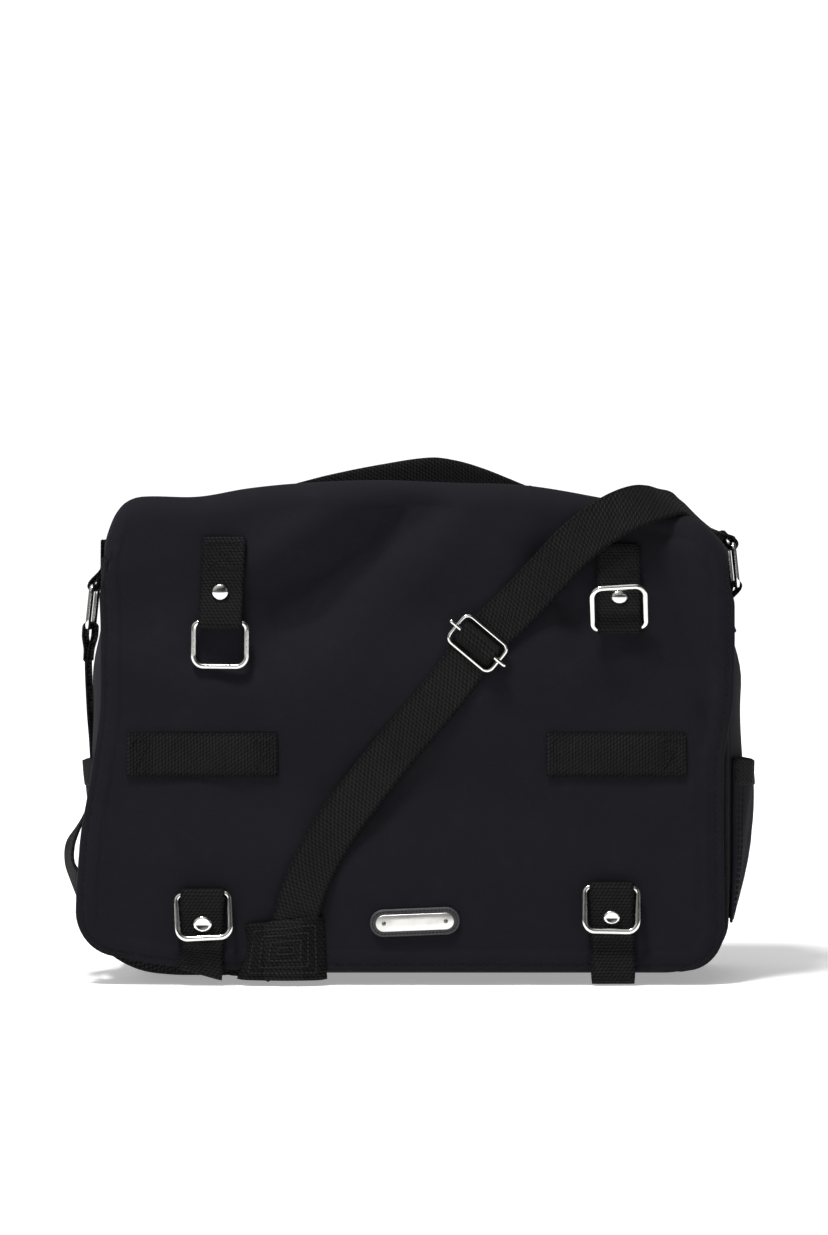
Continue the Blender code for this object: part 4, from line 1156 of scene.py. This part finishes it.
def gusset_puff(side, y, z):
    """How far a side wall bulges out of its flat place."""
    across = 1 - (y / 0.0447) ** 2
    most = 0.0126 if side > 0 else 0.0098
    foot = smooth(0.020, 0.085, z) if side > 0 else smooth(0.030, 0.150, z)
    height = foot * (1 - smooth(0.178, 0.236, z))
    near_ring = hump(z - SIDE_BAR_Z, 0.020) * hump(y, 0.030)
    out = most * across * height * (1 - 0.5 * near_ring)
    out += 0.0010 * math.sin(z * 70 + y * 40) * across * height
    return max(out, 0.0) + 0.0004 * across * near_ring


def build_gusset():
    """One band of canvas round the sides and bottom: it puffs between its seams and creases above the pocket."""
    outline = u_path(0.0015, 0.2560, 0.2520)
    half = 0.0447
    depths = [(-1 + 2 * k / 26) * half for k in range(27)]
    lengths = [0.0]
    for a, b in zip(outline, outline[1:]):
        lengths.append(lengths[-1] + math.hypot(b[0] - a[0], b[1] - a[1]))
    grid = []
    for i, (x, z) in enumerate(outline):
        before, after = outline[max(i - 1, 0)], outline[min(i + 1, len(outline) - 1)]
        way = Vector((after[0] - before[0], 0, after[1] - before[1])).normalized()
        out = Vector((way.z, 0, -way.x))
        side = smooth(0.10, 0.185, abs(x))
        low = 1 - smooth(0.0, 0.060, z)
        row = []
        for y in depths:
            puff = side * gusset_puff(1 if x > 0 else -1, y, z)
            row.append(Vector((x, y, z + bottom_rise(y) * low)) + out * puff)
        grid.append(row)

    def uv(i, j):
        return (depths[j], lengths[i])

    obj = thick_grid("gusset_canvas", grid, uv, 0.0026, CANVAS)
    add_piece(obj, "bag", "canvas", "gusset_left", "gusset_right", "bottom_panel")


def panel_grid(y, top_at, puff, facing):
    """Points over a front or back panel inside the U outline."""
    columns = [k / 44 * 2 - 1 for k in range(45)]
    rows = [k / 44 for k in range(45)]
    inset = 0.0064
    half_full = HALF_WIDTH - inset
    radius = BODY_CORNER - inset
    grid = []
    for down in rows:
        row = []
        for share in columns:
            top = top_at(share * half_full)
            z = top + (inset - top) * down
            above = z - inset
            half = half_full
            if above < radius:
                half -= radius - math.sqrt(max(radius**2 - (radius - above) ** 2, 0.0))
            x = share * half
            swell = (1 - (x / half_full) ** 4) * math.sin(math.pi * min(max(above / (top - inset), 0), 1)) ** 0.6
            fold = 0.0012 * noise.noise(Vector((x * 12, z * 12, y * 40)))
            lifted = z + bottom_rise(0.050) * (1 - smooth(0.0, 0.060, z))
            row.append(Vector((x, y + facing * (puff * swell + fold * swell), lifted)))
        grid.append(row)
    return grid


def build_panels():
    front = panel_grid(-0.0487, lambda x: min(0.2800, side_top(x)), -0.0010, -1)
    obj = thick_grid("front_canvas", front, lambda i, j: (front[i][j].x, front[i][j].z), 0.0024, CANVAS)
    add_piece(obj, "bag", "canvas", "front_panel")
    back = panel_grid(0.0487, lambda x: min(0.2845, side_top(x) + 0.004), 0.0035, 1)
    flipped = [row[::-1] for row in back]
    obj = thick_grid("back_canvas", flipped, lambda i, j: (flipped[i][j].x, flipped[i][j].z), 0.0024, CANVAS)
    add_piece(obj, "bag", "canvas", "back_panel")
    for name, y in (("front", -0.0472), ("back", 0.0472)):
        path = []
        for x, z in u_path(PIPING_INSET, 0.2540, 0.2500, 0.004):
            path.append(Vector((x, y, z + bottom_rise(y) * (1 - smooth(0.0, 0.060, z)))))
        obj = tube(name + "_piping_tape", path, 0.0028, False, 14, PIPING)
        add_piece(obj, "bag", "webbing", name + "_piping")
    pocket_low, pocket_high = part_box("inner_pocket")
    grid = []
    for i in range(21):
        z = pocket_high.z + (pocket_low.z - pocket_high.z) * i / 20
        row = []
        for j in range(31):
            x = pocket_low.x + (pocket_high.x - pocket_low.x) * j / 30
            sag = 0.0035 * math.sin(math.pi * j / 30) * (1 - i / 20) ** 2
            row.append(Vector((x, (pocket_low.y + pocket_high.y) / 2 - sag, z)))
        grid.append(row)
    obj = thick_grid("inner_pocket_cloth", grid, lambda i, j: (grid[i][j].x, grid[i][j].z), 0.0012, LINING)
    add_piece(obj, "bag", "lining", "inner_pocket")


def build_flap_seam():
    """The doubled strip that sews the flap to the bag's back, just under the line it folds on."""
    grid = []
    half = 0.1770
    for i in range(13):
        down = i / 12
        row = []
        for j in range(71):
            x = -half + 2 * half * j / 70
            top = top_shape(x, HINGE.y) - 0.0012
            z = top - 0.0225 * down
            y = 0.0526 - 0.0009 * smooth(0.0, 0.4, down) + 0.0003 * math.sin(x * 190) * down
            row.append(Vector((x, y, z)))
        grid.append(row[::-1])
    obj = thick_grid("flap_seam_canvas", grid, lambda i, j: (grid[i][j].x, grid[i][j].z), 0.0020, CANVAS)
    add_piece(obj, "bag", "canvas")
    for i in (3, 10):
        route = [point + Vector((0, 0.0011, 0)) for point in grid[i][2:-2]]
        stitches["bag"].line(route, lambda k: Vector((0, 1, 0)))


def build_side_pocket(name, side):
    """A soft patch pocket: sewn at its sides and foot, open and standing off at the top."""
    low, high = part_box("side_pocket_" + name)
    skin = HALF_WIDTH + GAP
    reach = 0.0042 if side > 0 else 0.0024
    rows, columns = 26, 24
    half = (high.y - low.y) / 2 + 0.0015

    def point(down, share, lift):
        z = high.z - down * (high.z - low.z)
        open_top = 0.30 + 0.70 * (1 - down) ** 0.8
        bulge = reach * open_top * (1 - abs(share) ** 3.2)
        wave = 0.0009 * math.sin(share * 9 + down * 6) * (1 - share * share)
        sag = 0.003 * (1 - share * share) * (1 - down)
        y = share * half
        rest = gusset_puff(side, y, z)
        return Vector((side * (skin + 0.0012 + rest + bulge + wave + lift), y, z - sag))

    grid = []
    for i in range(rows + 1):
        row = [point(i / rows, 2 * j / columns - 1, 0.0) for j in range(columns + 1)]
        grid.append(row if side > 0 else row[::-1])
    obj = thick_grid("pocket_canvas_" + name, grid, lambda i, j: (grid[i][j].y, grid[i][j].z), 0.0018, CANVAS)
    add_piece(obj, "bag", "canvas", "side_pocket_" + name, "side_pocket_floor_" + name)
    trim = []
    for i in range(9):
        down = i / 8 * 0.155 - 0.012
        row = [point(max(down, -0.02), 2 * j / columns - 1, 0.0013) for j in range(columns + 1)]
        trim.append(row if side > 0 else row[::-1])
    obj = thick_grid("pocket_trim_" + name, trim, lambda i, j: (trim[i][j].z - 0.127, trim[i][j].y), 0.0008, TAB_WEB)
    add_piece(obj, "bag", "webbing", "side_pocket_trim_" + name)
    out = Vector((side, 0, 0))
    for inset in (0.0035, 0.0075):
        route = []
        for k in range(20):
            route.append(point(0.16 + 0.80 * k / 19, 1 - inset / half, 0.0012))
        stitches["bag"].line(route, lambda i: out)
        route = [point(0.16 + 0.80 * k / 19, -1 + inset / half, 0.0012) for k in range(20)]
        stitches["bag"].line(route, lambda i: out)


# ---------------------------------------------------------------- side tabs and rings
SIDE_BAR_Z = 0.2400
SIDE_BAR_X = 0.1903 + 0.0048 + 0.00335
SIDE_RINGS = {"left": (-1, -1, math.radians(6)), "right": (1, 1, math.radians(-6))}
SIDE_RING_HALF = 0.01655
RING_SPAN = 0.026
SIDE_TAB_LENGTH = 0.028


def ring_reach(name):
    side, up, lean = SIDE_RINGS[name]
    return Vector((side * math.sin(lean), 0, up * math.cos(lean)))


def far_bar(name):
    side = SIDE_RINGS[name][0]
    return Vector((side * SIDE_BAR_X, 0, SIDE_BAR_Z)) + ring_reach(name) * RING_SPAN


def build_side_hardware():
    for name, (side, up, lean) in SIDE_RINGS.items():
        end_z = SIDE_BAR_Z - up * SIDE_TAB_LENGTH
        line = tab_grid(0, side * SIDE_BAR_X, SIDE_BAR_Z, end_z, side, side * 0.1903)
        grid, distances, total, last = [], [], 0.0, None
        for u, z in line:
            if last is not None:
                total += math.hypot(u - last[0], z - last[1])
            last = (u, z)
            out = side * gusset_puff(side, 0.0, z) * smooth(0.006, 0.020, abs(z - SIDE_BAR_Z))
            grid.append([Vector((u + out, (2 * j / 10 - 1) * TAB_WIDTH / 2 * side * -up, z)) for j in range(11)])
            distances.append(total)
        obj = thick_grid(
            "side_tab_webbing_" + name, grid, lambda i, j: ((2 * j / 10 - 1) * TAB_WIDTH / 2, distances[i]), WEB, TAB_WEB
        )
        add_piece(obj, "bag", "webbing", "side_tab_" + name)
        start = Vector((side * SIDE_BAR_X, 0, SIDE_BAR_Z))
        points = ring_loop(start, ring_reach(name), Vector((0, 1, 0)), SIDE_RING_HALF, RING_SPAN, 0.0038, 0.0038)
        ring = tube("side_ring_wire_" + name, points, WIRE, True, 18, NICKEL)
        add_piece(ring, "side_ring_" + name, "nickel", "side_ring_" + name)


def strap_turn(name, side, way, length):
    """The strap's sewn end round a side ring's lower bar: two layers that leave the bar together."""
    bar = far_bar(name)
    way = way.normalized()
    normal = Vector((-way.z, 0, way.x))
    radius = WIRE + GAP + STRAP_THICKNESS / 2
    line = []
    count = 8
    for k in range(count):
        share = 1 - k / count
        spread = radius + (STRAP_THICKNESS / 2 + 0.0001 - radius) * smooth(0.2, 0.75, share)
        line.append(bar + way * (length * share) + normal * spread)
    for k in range(13):
        angle = math.pi * k / 12
        line.append(bar + normal * radius * math.cos(angle) - way * radius * math.sin(angle))
    for k in range(1, count + 1):
        share = k / count
        spread = radius + (STRAP_THICKNESS / 2 + 0.0001 - radius) * smooth(0.2, 0.75, share)
        line.append(bar + way * (length * share) - normal * spread)
    path = [(point, Vector((0, 1, 0))) for point in line]
    obj = band("strap_turn_" + name, path, STRAP_WIDTH - 0.0006, STRAP_THICKNESS, STRAP, 11)
    add_piece(obj, "side_ring_" + name, "webbing", "strap_end_" + name)
    return obj


# ---------------------------------------------------------------- shoulder strap
def strap_stations():
    """The strap's route from the slider up over the right corner, and from the slider down to the left ring."""
    level = FRONT_Y - GAP - STRAP_THICKNESS / 2
    slant = Vector((0.76, 0, -0.65))
    upper = [
        (Vector((0.0385, level, 0.2050)), slant),
        (Vector((0.0640, level - 0.0008, 0.2300)), Vector((0.73, 0, -0.68))),
        (Vector((0.0820, level - 0.0034, 0.2495)), Vector((0.70, 0, -0.71))),
        (Vector((0.0930, level - 0.0056, 0.2615)), Vector((0.69, 0, -0.72))),
        (Vector((0.1045, level - 0.0068, 0.2715)), Vector((0.64, 0.02, -0.77))),
        (Vector((0.1145, level - 0.0066, 0.2785)), Vector((0.52, -0.04, -0.85))),
        (Vector((0.1250, level - 0.0046, 0.2842)), Vector((0.34, -0.18, -0.92))),
        (Vector((0.1355, -0.0610, 0.2882)), Vector((0.18, -0.42, -0.88))),
        (Vector((0.1460, -0.0520, 0.2906)), Vector((0.06, -0.74, -0.67))),
        (Vector((0.1570, -0.0400, 0.2905)), Vector((-0.10, -0.95, -0.28))),
        (Vector((0.1662, -0.0280, 0.2858)), Vector((-0.24, -0.97, -0.05))),
        (Vector((0.1745, -0.0180, 0.2804)), Vector((-0.22, -0.98, 0.0))),
        (Vector((0.1822, -0.0085, 0.2752)), Vector((-0.08, -1.0, 0))),
    ]
    rise = [
        (Vector((0.1822, -0.0085, 0.2752)), Vector((-0.08, -1.0, 0))),
        (Vector((0.1862, -0.0040, 0.2736)), Vector((0, -1, 0))),
        (Vector((0.1895, -0.0010, 0.2724)), Vector((0, -1, 0))),
    ]
    front = [
        (Vector((0.0385, level, 0.2050)), slant),
        (Vector((0.0280, level, 0.1900)), Vector((0.78, 0, -0.62))),
        (Vector((0.0125, level, 0.1700)), Vector((0.78, 0, -0.62))),
        (Vector((-0.0045, level, 0.1500)), Vector((0.77, 0, -0.63))),
        (Vector((-0.0210, level, 0.1300)), Vector((0.78, 0, -0.62))),
        (Vector((-0.0430, level, 0.1010)), Vector((0.82, 0, -0.57))),
        (Vector((-0.0560, level - 0.0006, 0.0800)), Vector((0.87, 0.02, -0.50))),
        (Vector((-0.0655, level - 0.0016, 0.0600)), Vector((0.93, 0.02, -0.36))),
        (Vector((-0.0715, level - 0.0024, 0.0400)), Vector((0.98, 0.0, -0.18))),
        (Vector((-0.0745, level - 0.0020, 0.0220)), Vector((1, 0, -0.05))),
        (Vector((-0.0755, level - 0.0012, 0.0120)), Vector((1, 0, 0))),
        (Vector((-0.0757, -0.0606, 0.0062)), Vector((1, 0, 0))),
        (Vector((-0.0760, -0.0585, 0.0046)), Vector((1, 0, 0))),
        (Vector((-0.0765, -0.0560, 0.0066)), Vector((1, 0, 0.05))),
        (Vector((-0.0800, -0.0545, 0.0120)), Vector((0.9, 0, 0.45))),
        (Vector((-0.0920, -0.0535, 0.0165)), Vector((0.35, 0, 0.94))),
        (Vector((-0.1120, -0.0530, 0.0185)), Vector((0.0, 0, 1))),
    ]
    left = [
        (Vector((-0.1120, -0.0530, 0.0185)), Vector((0.0, 0, 1))),
        (Vector((-0.1300, -0.0545, 0.0188)), Vector((0.0, 0, 1))),
        (Vector((-0.1460, -0.0552, 0.0192)), Vector((0.0, 0, 1))),
        (Vector((-0.1620, -0.0545, 0.0215)), Vector((0.25, 0, 0.97))),
        (Vector((-0.1760, -0.0535, 0.0290)), Vector((0.55, 0.02, 0.83))),
        (Vector((-0.1890, -0.0515, 0.0415)), Vector((0.50, -0.25, 0.83))),
        (Vector((-0.1992, -0.0470, 0.0540)), Vector((0.24, -0.68, 0.69))),
        (Vector((-0.2070, -0.0410, 0.0650)), Vector((0.14, -0.85, 0.50))),
        (Vector((-0.2100, -0.0350, 0.0765)), Vector((0.28, -0.86, 0.42))),
        (Vector((-0.2085, -0.0290, 0.0875)), Vector((0.36, -0.87, 0.33))),
        (Vector((-0.2030, -0.0210, 0.0985)), Vector((0.20, -0.94, 0.28))),
        (Vector((-0.1990, -0.0130, 0.1100)), Vector((0.05, -0.97, 0.20))),
        (Vector((-0.1985, -0.0060, 0.1260)), Vector((0, -1, 0.10))),
        (Vector((-0.1996, -0.0015, 0.1430)), Vector((0, -1, 0))),
        (Vector((-0.2012, 0.0, 0.1610)), Vector((0, -1, 0))),
        (Vector((-0.2021, 0.0, 0.1780)), Vector((0, -1, 0))),
    ]
    end = [
        (Vector((-0.2021, 0.0, 0.1780)), Vector((0, -1, 0))),
        (Vector((-0.2024, 0.0, 0.1860)), Vector((0, -1, 0))),
        (Vector((-0.2026, 0.0, 0.1945)), Vector((0, -1, 0))),
    ]
    return upper, rise, front, left, end


def turned(path):
    """The same path with each width direction reversed, so that the band's face looks the other way."""
    return [(point, side * -1) for point, side in path]


def over_folds(path):
    """The same path, pushed forward wherever the cloth under it bulges."""
    found = []
    for point, side in path:
        if point.y < FRONT_Y + 0.0015 and point.z > 0.045:
            rise = max(relief(point.x + side.x * reach, point.z + side.z * reach) for reach in (-0.010, 0.0, 0.010))
            point = point - Vector((0, max(rise, 0.0), 0))
        found.append((point, side))
    return found


def build_strap():
    upper, rise, front, left, end = strap_stations()
    step = 0.0028
    upper_path, upper_length = even(over_folds(spline(upper, 8)), step)
    rise_path, _ = even(spline(rise, 8), step)
    front_path, front_length = even(over_folds(spline(front, 8)), step)
    left_path, left_length = even(spline(left, 8), step)
    end_path, _ = even(spline(end, 8), step)

    top = band("strap_upper", upper_path, STRAP_WIDTH, STRAP_THICKNESS, STRAP, 11)
    tuple(upper_path[int(len(upper_path) * 0.62)][0])
    tuple(upper_path[-1][0])
    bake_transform(top)
    side = band("strap_right_rise", rise_path, STRAP_WIDTH, STRAP_THICKNESS, STRAP, 13, upper_length)
    tuple(rise_path[0][0])
    tuple(rise_path[-1][0])
    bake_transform(side)
    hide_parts("strap_rise")

    lower = band("strap_front", turned(front_path), STRAP_WIDTH, STRAP_THICKNESS, STRAP, 13)
    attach(lower, "flap")
    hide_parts("strap_front_run", "strap_hook")
    back = band("strap_left", left_path, STRAP_WIDTH, STRAP_THICKNESS, STRAP, 11, front_length)
    tuple(left_path[6][0])
    tuple(left_path[-1][0])
    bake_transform(back)
    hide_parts("strap_tuck", "strap_left_run")
    tip = band("strap_left_end", end_path, STRAP_WIDTH, STRAP_THICKNESS, STRAP, 11, front_length + left_length)
    tuple(end_path[0][0])
    tuple(end_path[-1][0])
    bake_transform(tip)

    tuple(upper_path[-1][0])
    [tuple(p) for p, _ in reversed(upper_path)]
    tuple(front_path[0][0])
    [tuple(p) for p, _ in front_path]
    tuple(left_path[0][0])
    [tuple(p) for p, _ in left_path]

    strap_turn("right", 1, Vector((-0.62, 0, 0.70)), 0.0094)
    strap_turn("left", -1, Vector((-0.07, 0, -1)), 0.0200)


def build_patch():
    """The doubled, box-stitched end of the strap at the flap's lower edge."""
    low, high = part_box("strap_patch")
    grid = []
    rows, columns = 18, 20
    for i in range(rows + 1):
        down = i / rows
        row = []
        for j in range(columns + 1):
            share = 2 * j / columns - 1
            half = 0.0265 - 0.0035 * (1 - down) - 0.0020 * math.sin(down * 3.1)
            x = -0.0785 + 0.0015 * math.sin(down * 4) + share * half
            z = 0.0385 - down * 0.0345 + 0.0028 * share * (1 - down)
            y = FRONT_Y - GAP - 0.0046 - 0.0009 * math.cos(share * 2.4) - 0.0006 * math.sin(down * 7 + share * 3)
            y += 0.0030 * smooth(0.75, 1.0, abs(share)) + 0.0016 * smooth(0.8, 1.0, down)
            row.append(Vector((x, y, z)))
        grid.append(row)
    obj = thick_grid("strap_patch_webbing", grid, lambda i, j: (grid[i][j].x + 0.0785, grid[i][j].z), 0.0018, STRAP)
    add_piece(obj, "flap", "webbing", "strap_patch")
    thread = stitches["patch"]
    for inset in range(4):
        a = 2 + inset * 2
        route = []
        for i, j in ((a, a), (a, columns - a), (rows - a, columns - a), (rows - a, a), (a, a)):
            route.append(grid[i][j] + Vector((0, -0.0011, 0)))
        for p, q in zip(route, route[1:]):
            points = [p + (q - p) * (k / 6) for k in range(7)]
            for point in points:
                point.y = surface_y(grid, point) - 0.0011
            thread.line(points, lambda i: Vector((0, -1, 0)), pitch=0.0026, radius=0.00040)


def surface_y(grid, point):
    """Depth of the nearest grid point to a place on the front."""
    best, found = 1e9, point.y
    for row in grid:
        for candidate in row:
            away = (candidate.x - point.x) ** 2 + (candidate.z - point.z) ** 2
            if away < best:
                best, found = away, candidate.y
    return found


# ---------------------------------------------------------------- handle
HANDLE_TOP = (
    (-0.0740, 0.3050), (-0.0534, 0.3103), (-0.0213, 0.3167), (0.0100, 0.3212), (0.0269, 0.3191),
    (0.0429, 0.3143), (0.0589, 0.3079), (0.0702, 0.3032), (0.0740, 0.3020),
)


def build_handle():
    """A doubled band of webbing standing on edge, tallest in its middle and flattened where it meets its ends."""
    low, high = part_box("handle")
    middle_y = (low.y + high.y) / 2
    half_x = high.x
    rows, columns = 15, 60
    vertices, uvs, faces = [], [], []
    sides = 2 * rows
    for k in range(columns + 1):
        share = 2 * k / columns - 1
        x = half_x * share
        rise = max(1 - share * share, 0.0)
        top = along(HANDLE_TOP, x)
        bottom = min(low.z + 0.0004, top - 0.0016)
        height = top - bottom
        bend = 0.0010 * math.sin(share * 5.0)
        centre = bottom + height / 2
        thick = 0.0024 - 0.0006 * rise
        for s in range(sides):
            angle = 2 * math.pi * s / sides
            up, out = math.sin(angle), math.cos(angle)
            z = centre + math.copysign(abs(up) ** 0.45, up) * height / 2
            lean = 0.0012 * up * rise
            y = middle_y + bend + lean + math.copysign(abs(out) ** 0.5, out) * thick * (1 + 0.25 * abs(up) ** 6)
            vertices.append(Vector((x, y, z)))
            uvs.append((z - centre, x))
    for i in range(columns):
        for s in range(sides):
            n = (s + 1) % sides
            a, b = i * sides, (i + 1) * sides
            faces.append((a + s, b + s, b + n, a + n))
    faces.append(tuple(range(sides)))
    faces.append(tuple(range(columns * sides, (columns + 1) * sides))[::-1])
    obj = new_object("handle_grip", vertices, faces, uvs, TAB_WEB)
    add_piece(obj, "handle", "webbing", "handle")
    for name, side in (("left", -1), ("right", 1)):
        a_low, a_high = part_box("handle_anchor_" + name)
        rows, columns = 14, 9
        grid = []
        for i in range(rows + 1):
            share = i / rows
            x = (a_low.x + (a_high.x - a_low.x) * share)
            near = share if side < 0 else 1 - share
            row = []
            for j in range(columns):
                v = 2 * j / (columns - 1) - 1
                half = (a_high.y - a_low.y) / 2 * (1 - 0.42 * smooth(0.72, 1.0, near))
                y = middle_y + v * half
                lift = 0.0052 * smooth(0.70, 1.0, near)
                row.append(Vector((x + (side * -1) * 0.0065 * smooth(0.7, 1.0, near), y, flap_point(x, BEND_Y - BEND_LENGTH - y, 0.0013).z + lift)))
            grid.append(row)
        lines = [(a_high.x - a_low.x) * i / rows for i in range(rows + 1)]
        if True:
            grid = [row[::-1] for row in grid]
        obj = thick_grid("handle_end_" + name, grid, lambda i, j: ((2 * j / 8 - 1) * 0.0125, lines[i]), 0.0022, TAB_WEB)
        add_piece(obj, "flap", "webbing", "handle_anchor_" + name)


# ---------------------------------------------------------------- stage, light and camera
def light_world(tree):
    """A white backdrop behind the bag, and a darker studio in front of it with one wide soft light up on the left."""
    back = tree.nodes["Background"]
    where = tree.nodes.new("ShaderNodeTexCoord").outputs["Generated"]
    split = tree.nodes.new("ShaderNodeSeparateXYZ")
    tree.links.new(where, split.inputs[0])
    dot = tree.nodes.new("ShaderNodeVectorMath")
    dot.operation = "DOT_PRODUCT"
    dot.inputs[1].default_value = Vector((-0.42, -0.42, 0.80)).normalized()
    tree.links.new(where, dot.inputs[0])

    def ranged(value, low, high, to_low, to_high):
        node = tree.nodes.new("ShaderNodeMapRange")
        node.interpolation_type = "SMOOTHSTEP"
        tree.links.new(value, node.inputs["Value"])
        for key, number in (("From Min", low), ("From Max", high), ("To Min", to_low), ("To Max", to_high)):
            node.inputs[key].default_value = number
        return node.outputs["Result"]

    def joined(operation, a, b):
        node = tree.nodes.new("ShaderNodeMath")
        node.operation = operation
        tree.links.new(a, node.inputs[0])
        if b is not None:
            tree.links.new(b, node.inputs[1])
        return node.outputs[0]

    behind = ranged(split.outputs["Y"], 0.35, 0.85, 0.0, 0.22)
    soft = ranged(dot.outputs["Value"], 0.55, 0.97, 0.03, 0.60)
    left = ranged(split.outputs["X"], -0.62, -0.96, 0.0, 0.14)
    front = joined("ADD", soft, left)
    seen = tree.nodes.new("ShaderNodeLightPath").outputs["Is Camera Ray"]
    mix = tree.nodes.new("ShaderNodeMix")
    tree.links.new(joined("MAXIMUM", behind, seen), mix.inputs[0])
    tree.links.new(front, mix.inputs[2])
    mix.inputs[3].default_value = 1.1
    tree.links.new(mix.outputs[0], back.inputs["Strength"])
    back.inputs["Color"].default_value = (1.0, 1.0, 1.0, 1.0)


def build_stage():
    bpy.ops.mesh.primitive_plane_add(size=30, location=(0, 0, -0.0004))
    floor = bpy.context.object
    floor.name = "studio_floor"
    n = Nodes("glowing_pale_floor")
    cloud = n.noise(n.place(), 0.8, 2.0)
    n.put(n.shader.inputs["Base Color"], n.mix(cloud, grey(0.93, 0.93, 0.93), grey(0.96, 0.96, 0.96)))
    n.shader.inputs["Roughness"].default_value = 0.9
    n.shader.inputs["Specular IOR Level"].default_value = 0.1
    # the floor glows as painted light, from strength 0.34 near the bag to 1.05 far from it, so the far floor reads pure
    # white; the glow also lights the bag from below
    n.shader.inputs["Emission Color"].default_value = grey(1.0, 1.0, 1.0)
    away = n.add("ShaderNodeVectorMath", operation="LENGTH")
    n.put(away.inputs[0], n.place())
    n.put(n.shader.inputs["Emission Strength"], n.ramp(away.outputs["Value"], 0.35, 2.2, 0.34, 1.05))
    floor.data.materials.append(n.material)
    scene = bpy.context.scene
    world = bpy.data.worlds.new("studio")
    world.use_nodes = True
    light_world(world.node_tree)
    scene.world = world
    lights = (
        ("key", (-0.5, -0.75, 2.2), 0.45, 58.0),
        ("fill", (1.8, -1.5, 0.9), 1.4, 1.0),
        ("top", (0.1, 0.3, 2.2), 1.6, 6.0),
    )
    for name, place, size, power in lights:
        data = bpy.data.lights.new(name, "AREA")
        data.shape = "DISK"
        data.size = size
        data.energy = power
        lamp = bpy.data.objects.new(name, data)
        lamp.location = place
        lamp.rotation_euler = (Vector((0, 0, 0.15)) - Vector(place)).to_track_quat("-Z", "Y").to_euler()
        scene.collection.objects.link(lamp)
    scene.view_settings.view_transform = "Standard"
    scene.view_settings.look = "None"
    scene.view_settings.exposure = 0.0
    scene.view_settings.gamma = 1.0


CAMERA_DISTANCE = 1.75
FRAME_HEIGHT = 0.741
SENSOR = 36.0


def build_camera():
    data = bpy.data.cameras.new("camera")
    data.sensor_width = SENSOR
    data.lens = SENSOR * CAMERA_DISTANCE / FRAME_HEIGHT
    camera = bpy.data.objects.new("camera", data)
    camera.location = (-0.0005, FRONT_Y - CAMERA_DISTANCE, 0.2205)
    camera.rotation_euler = (math.pi / 2, 0, 0)
    bpy.context.scene.collection.objects.link(camera)
    bpy.context.scene.camera = camera


def dress_hidden_metal():
    for name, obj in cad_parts.items():
        if name.startswith("snap_"):
            obj.data.materials.clear()
            obj.data.materials.append(NICKEL)


def main():
    build_camera()
    build_strap()
    build_flap()
    stitch_hem()
    for name in TABS:
        build_tab(name)
        build_front_ring(name)
    for name in ("left", "right"):
        build_lash_strip(name, *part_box("lash_strip_" + name))
    build_studs()
    build_slider()
    build_badge()
    build_gusset()
    build_panels()
    build_flap_seam()
    build_side_pocket("left", -1)
    build_side_pocket("right", 1)
    build_side_hardware()
    build_patch()
    build_handle()
    stitches["flap"].made("flap_stitches", "flap", THREAD)
    stitches["bag"].made("bag_stitches", "bag", THREAD)
    stitches["patch"].made("patch_stitches", "flap", PALE_THREAD)
    dress_hidden_metal()
    build_stage()


main()
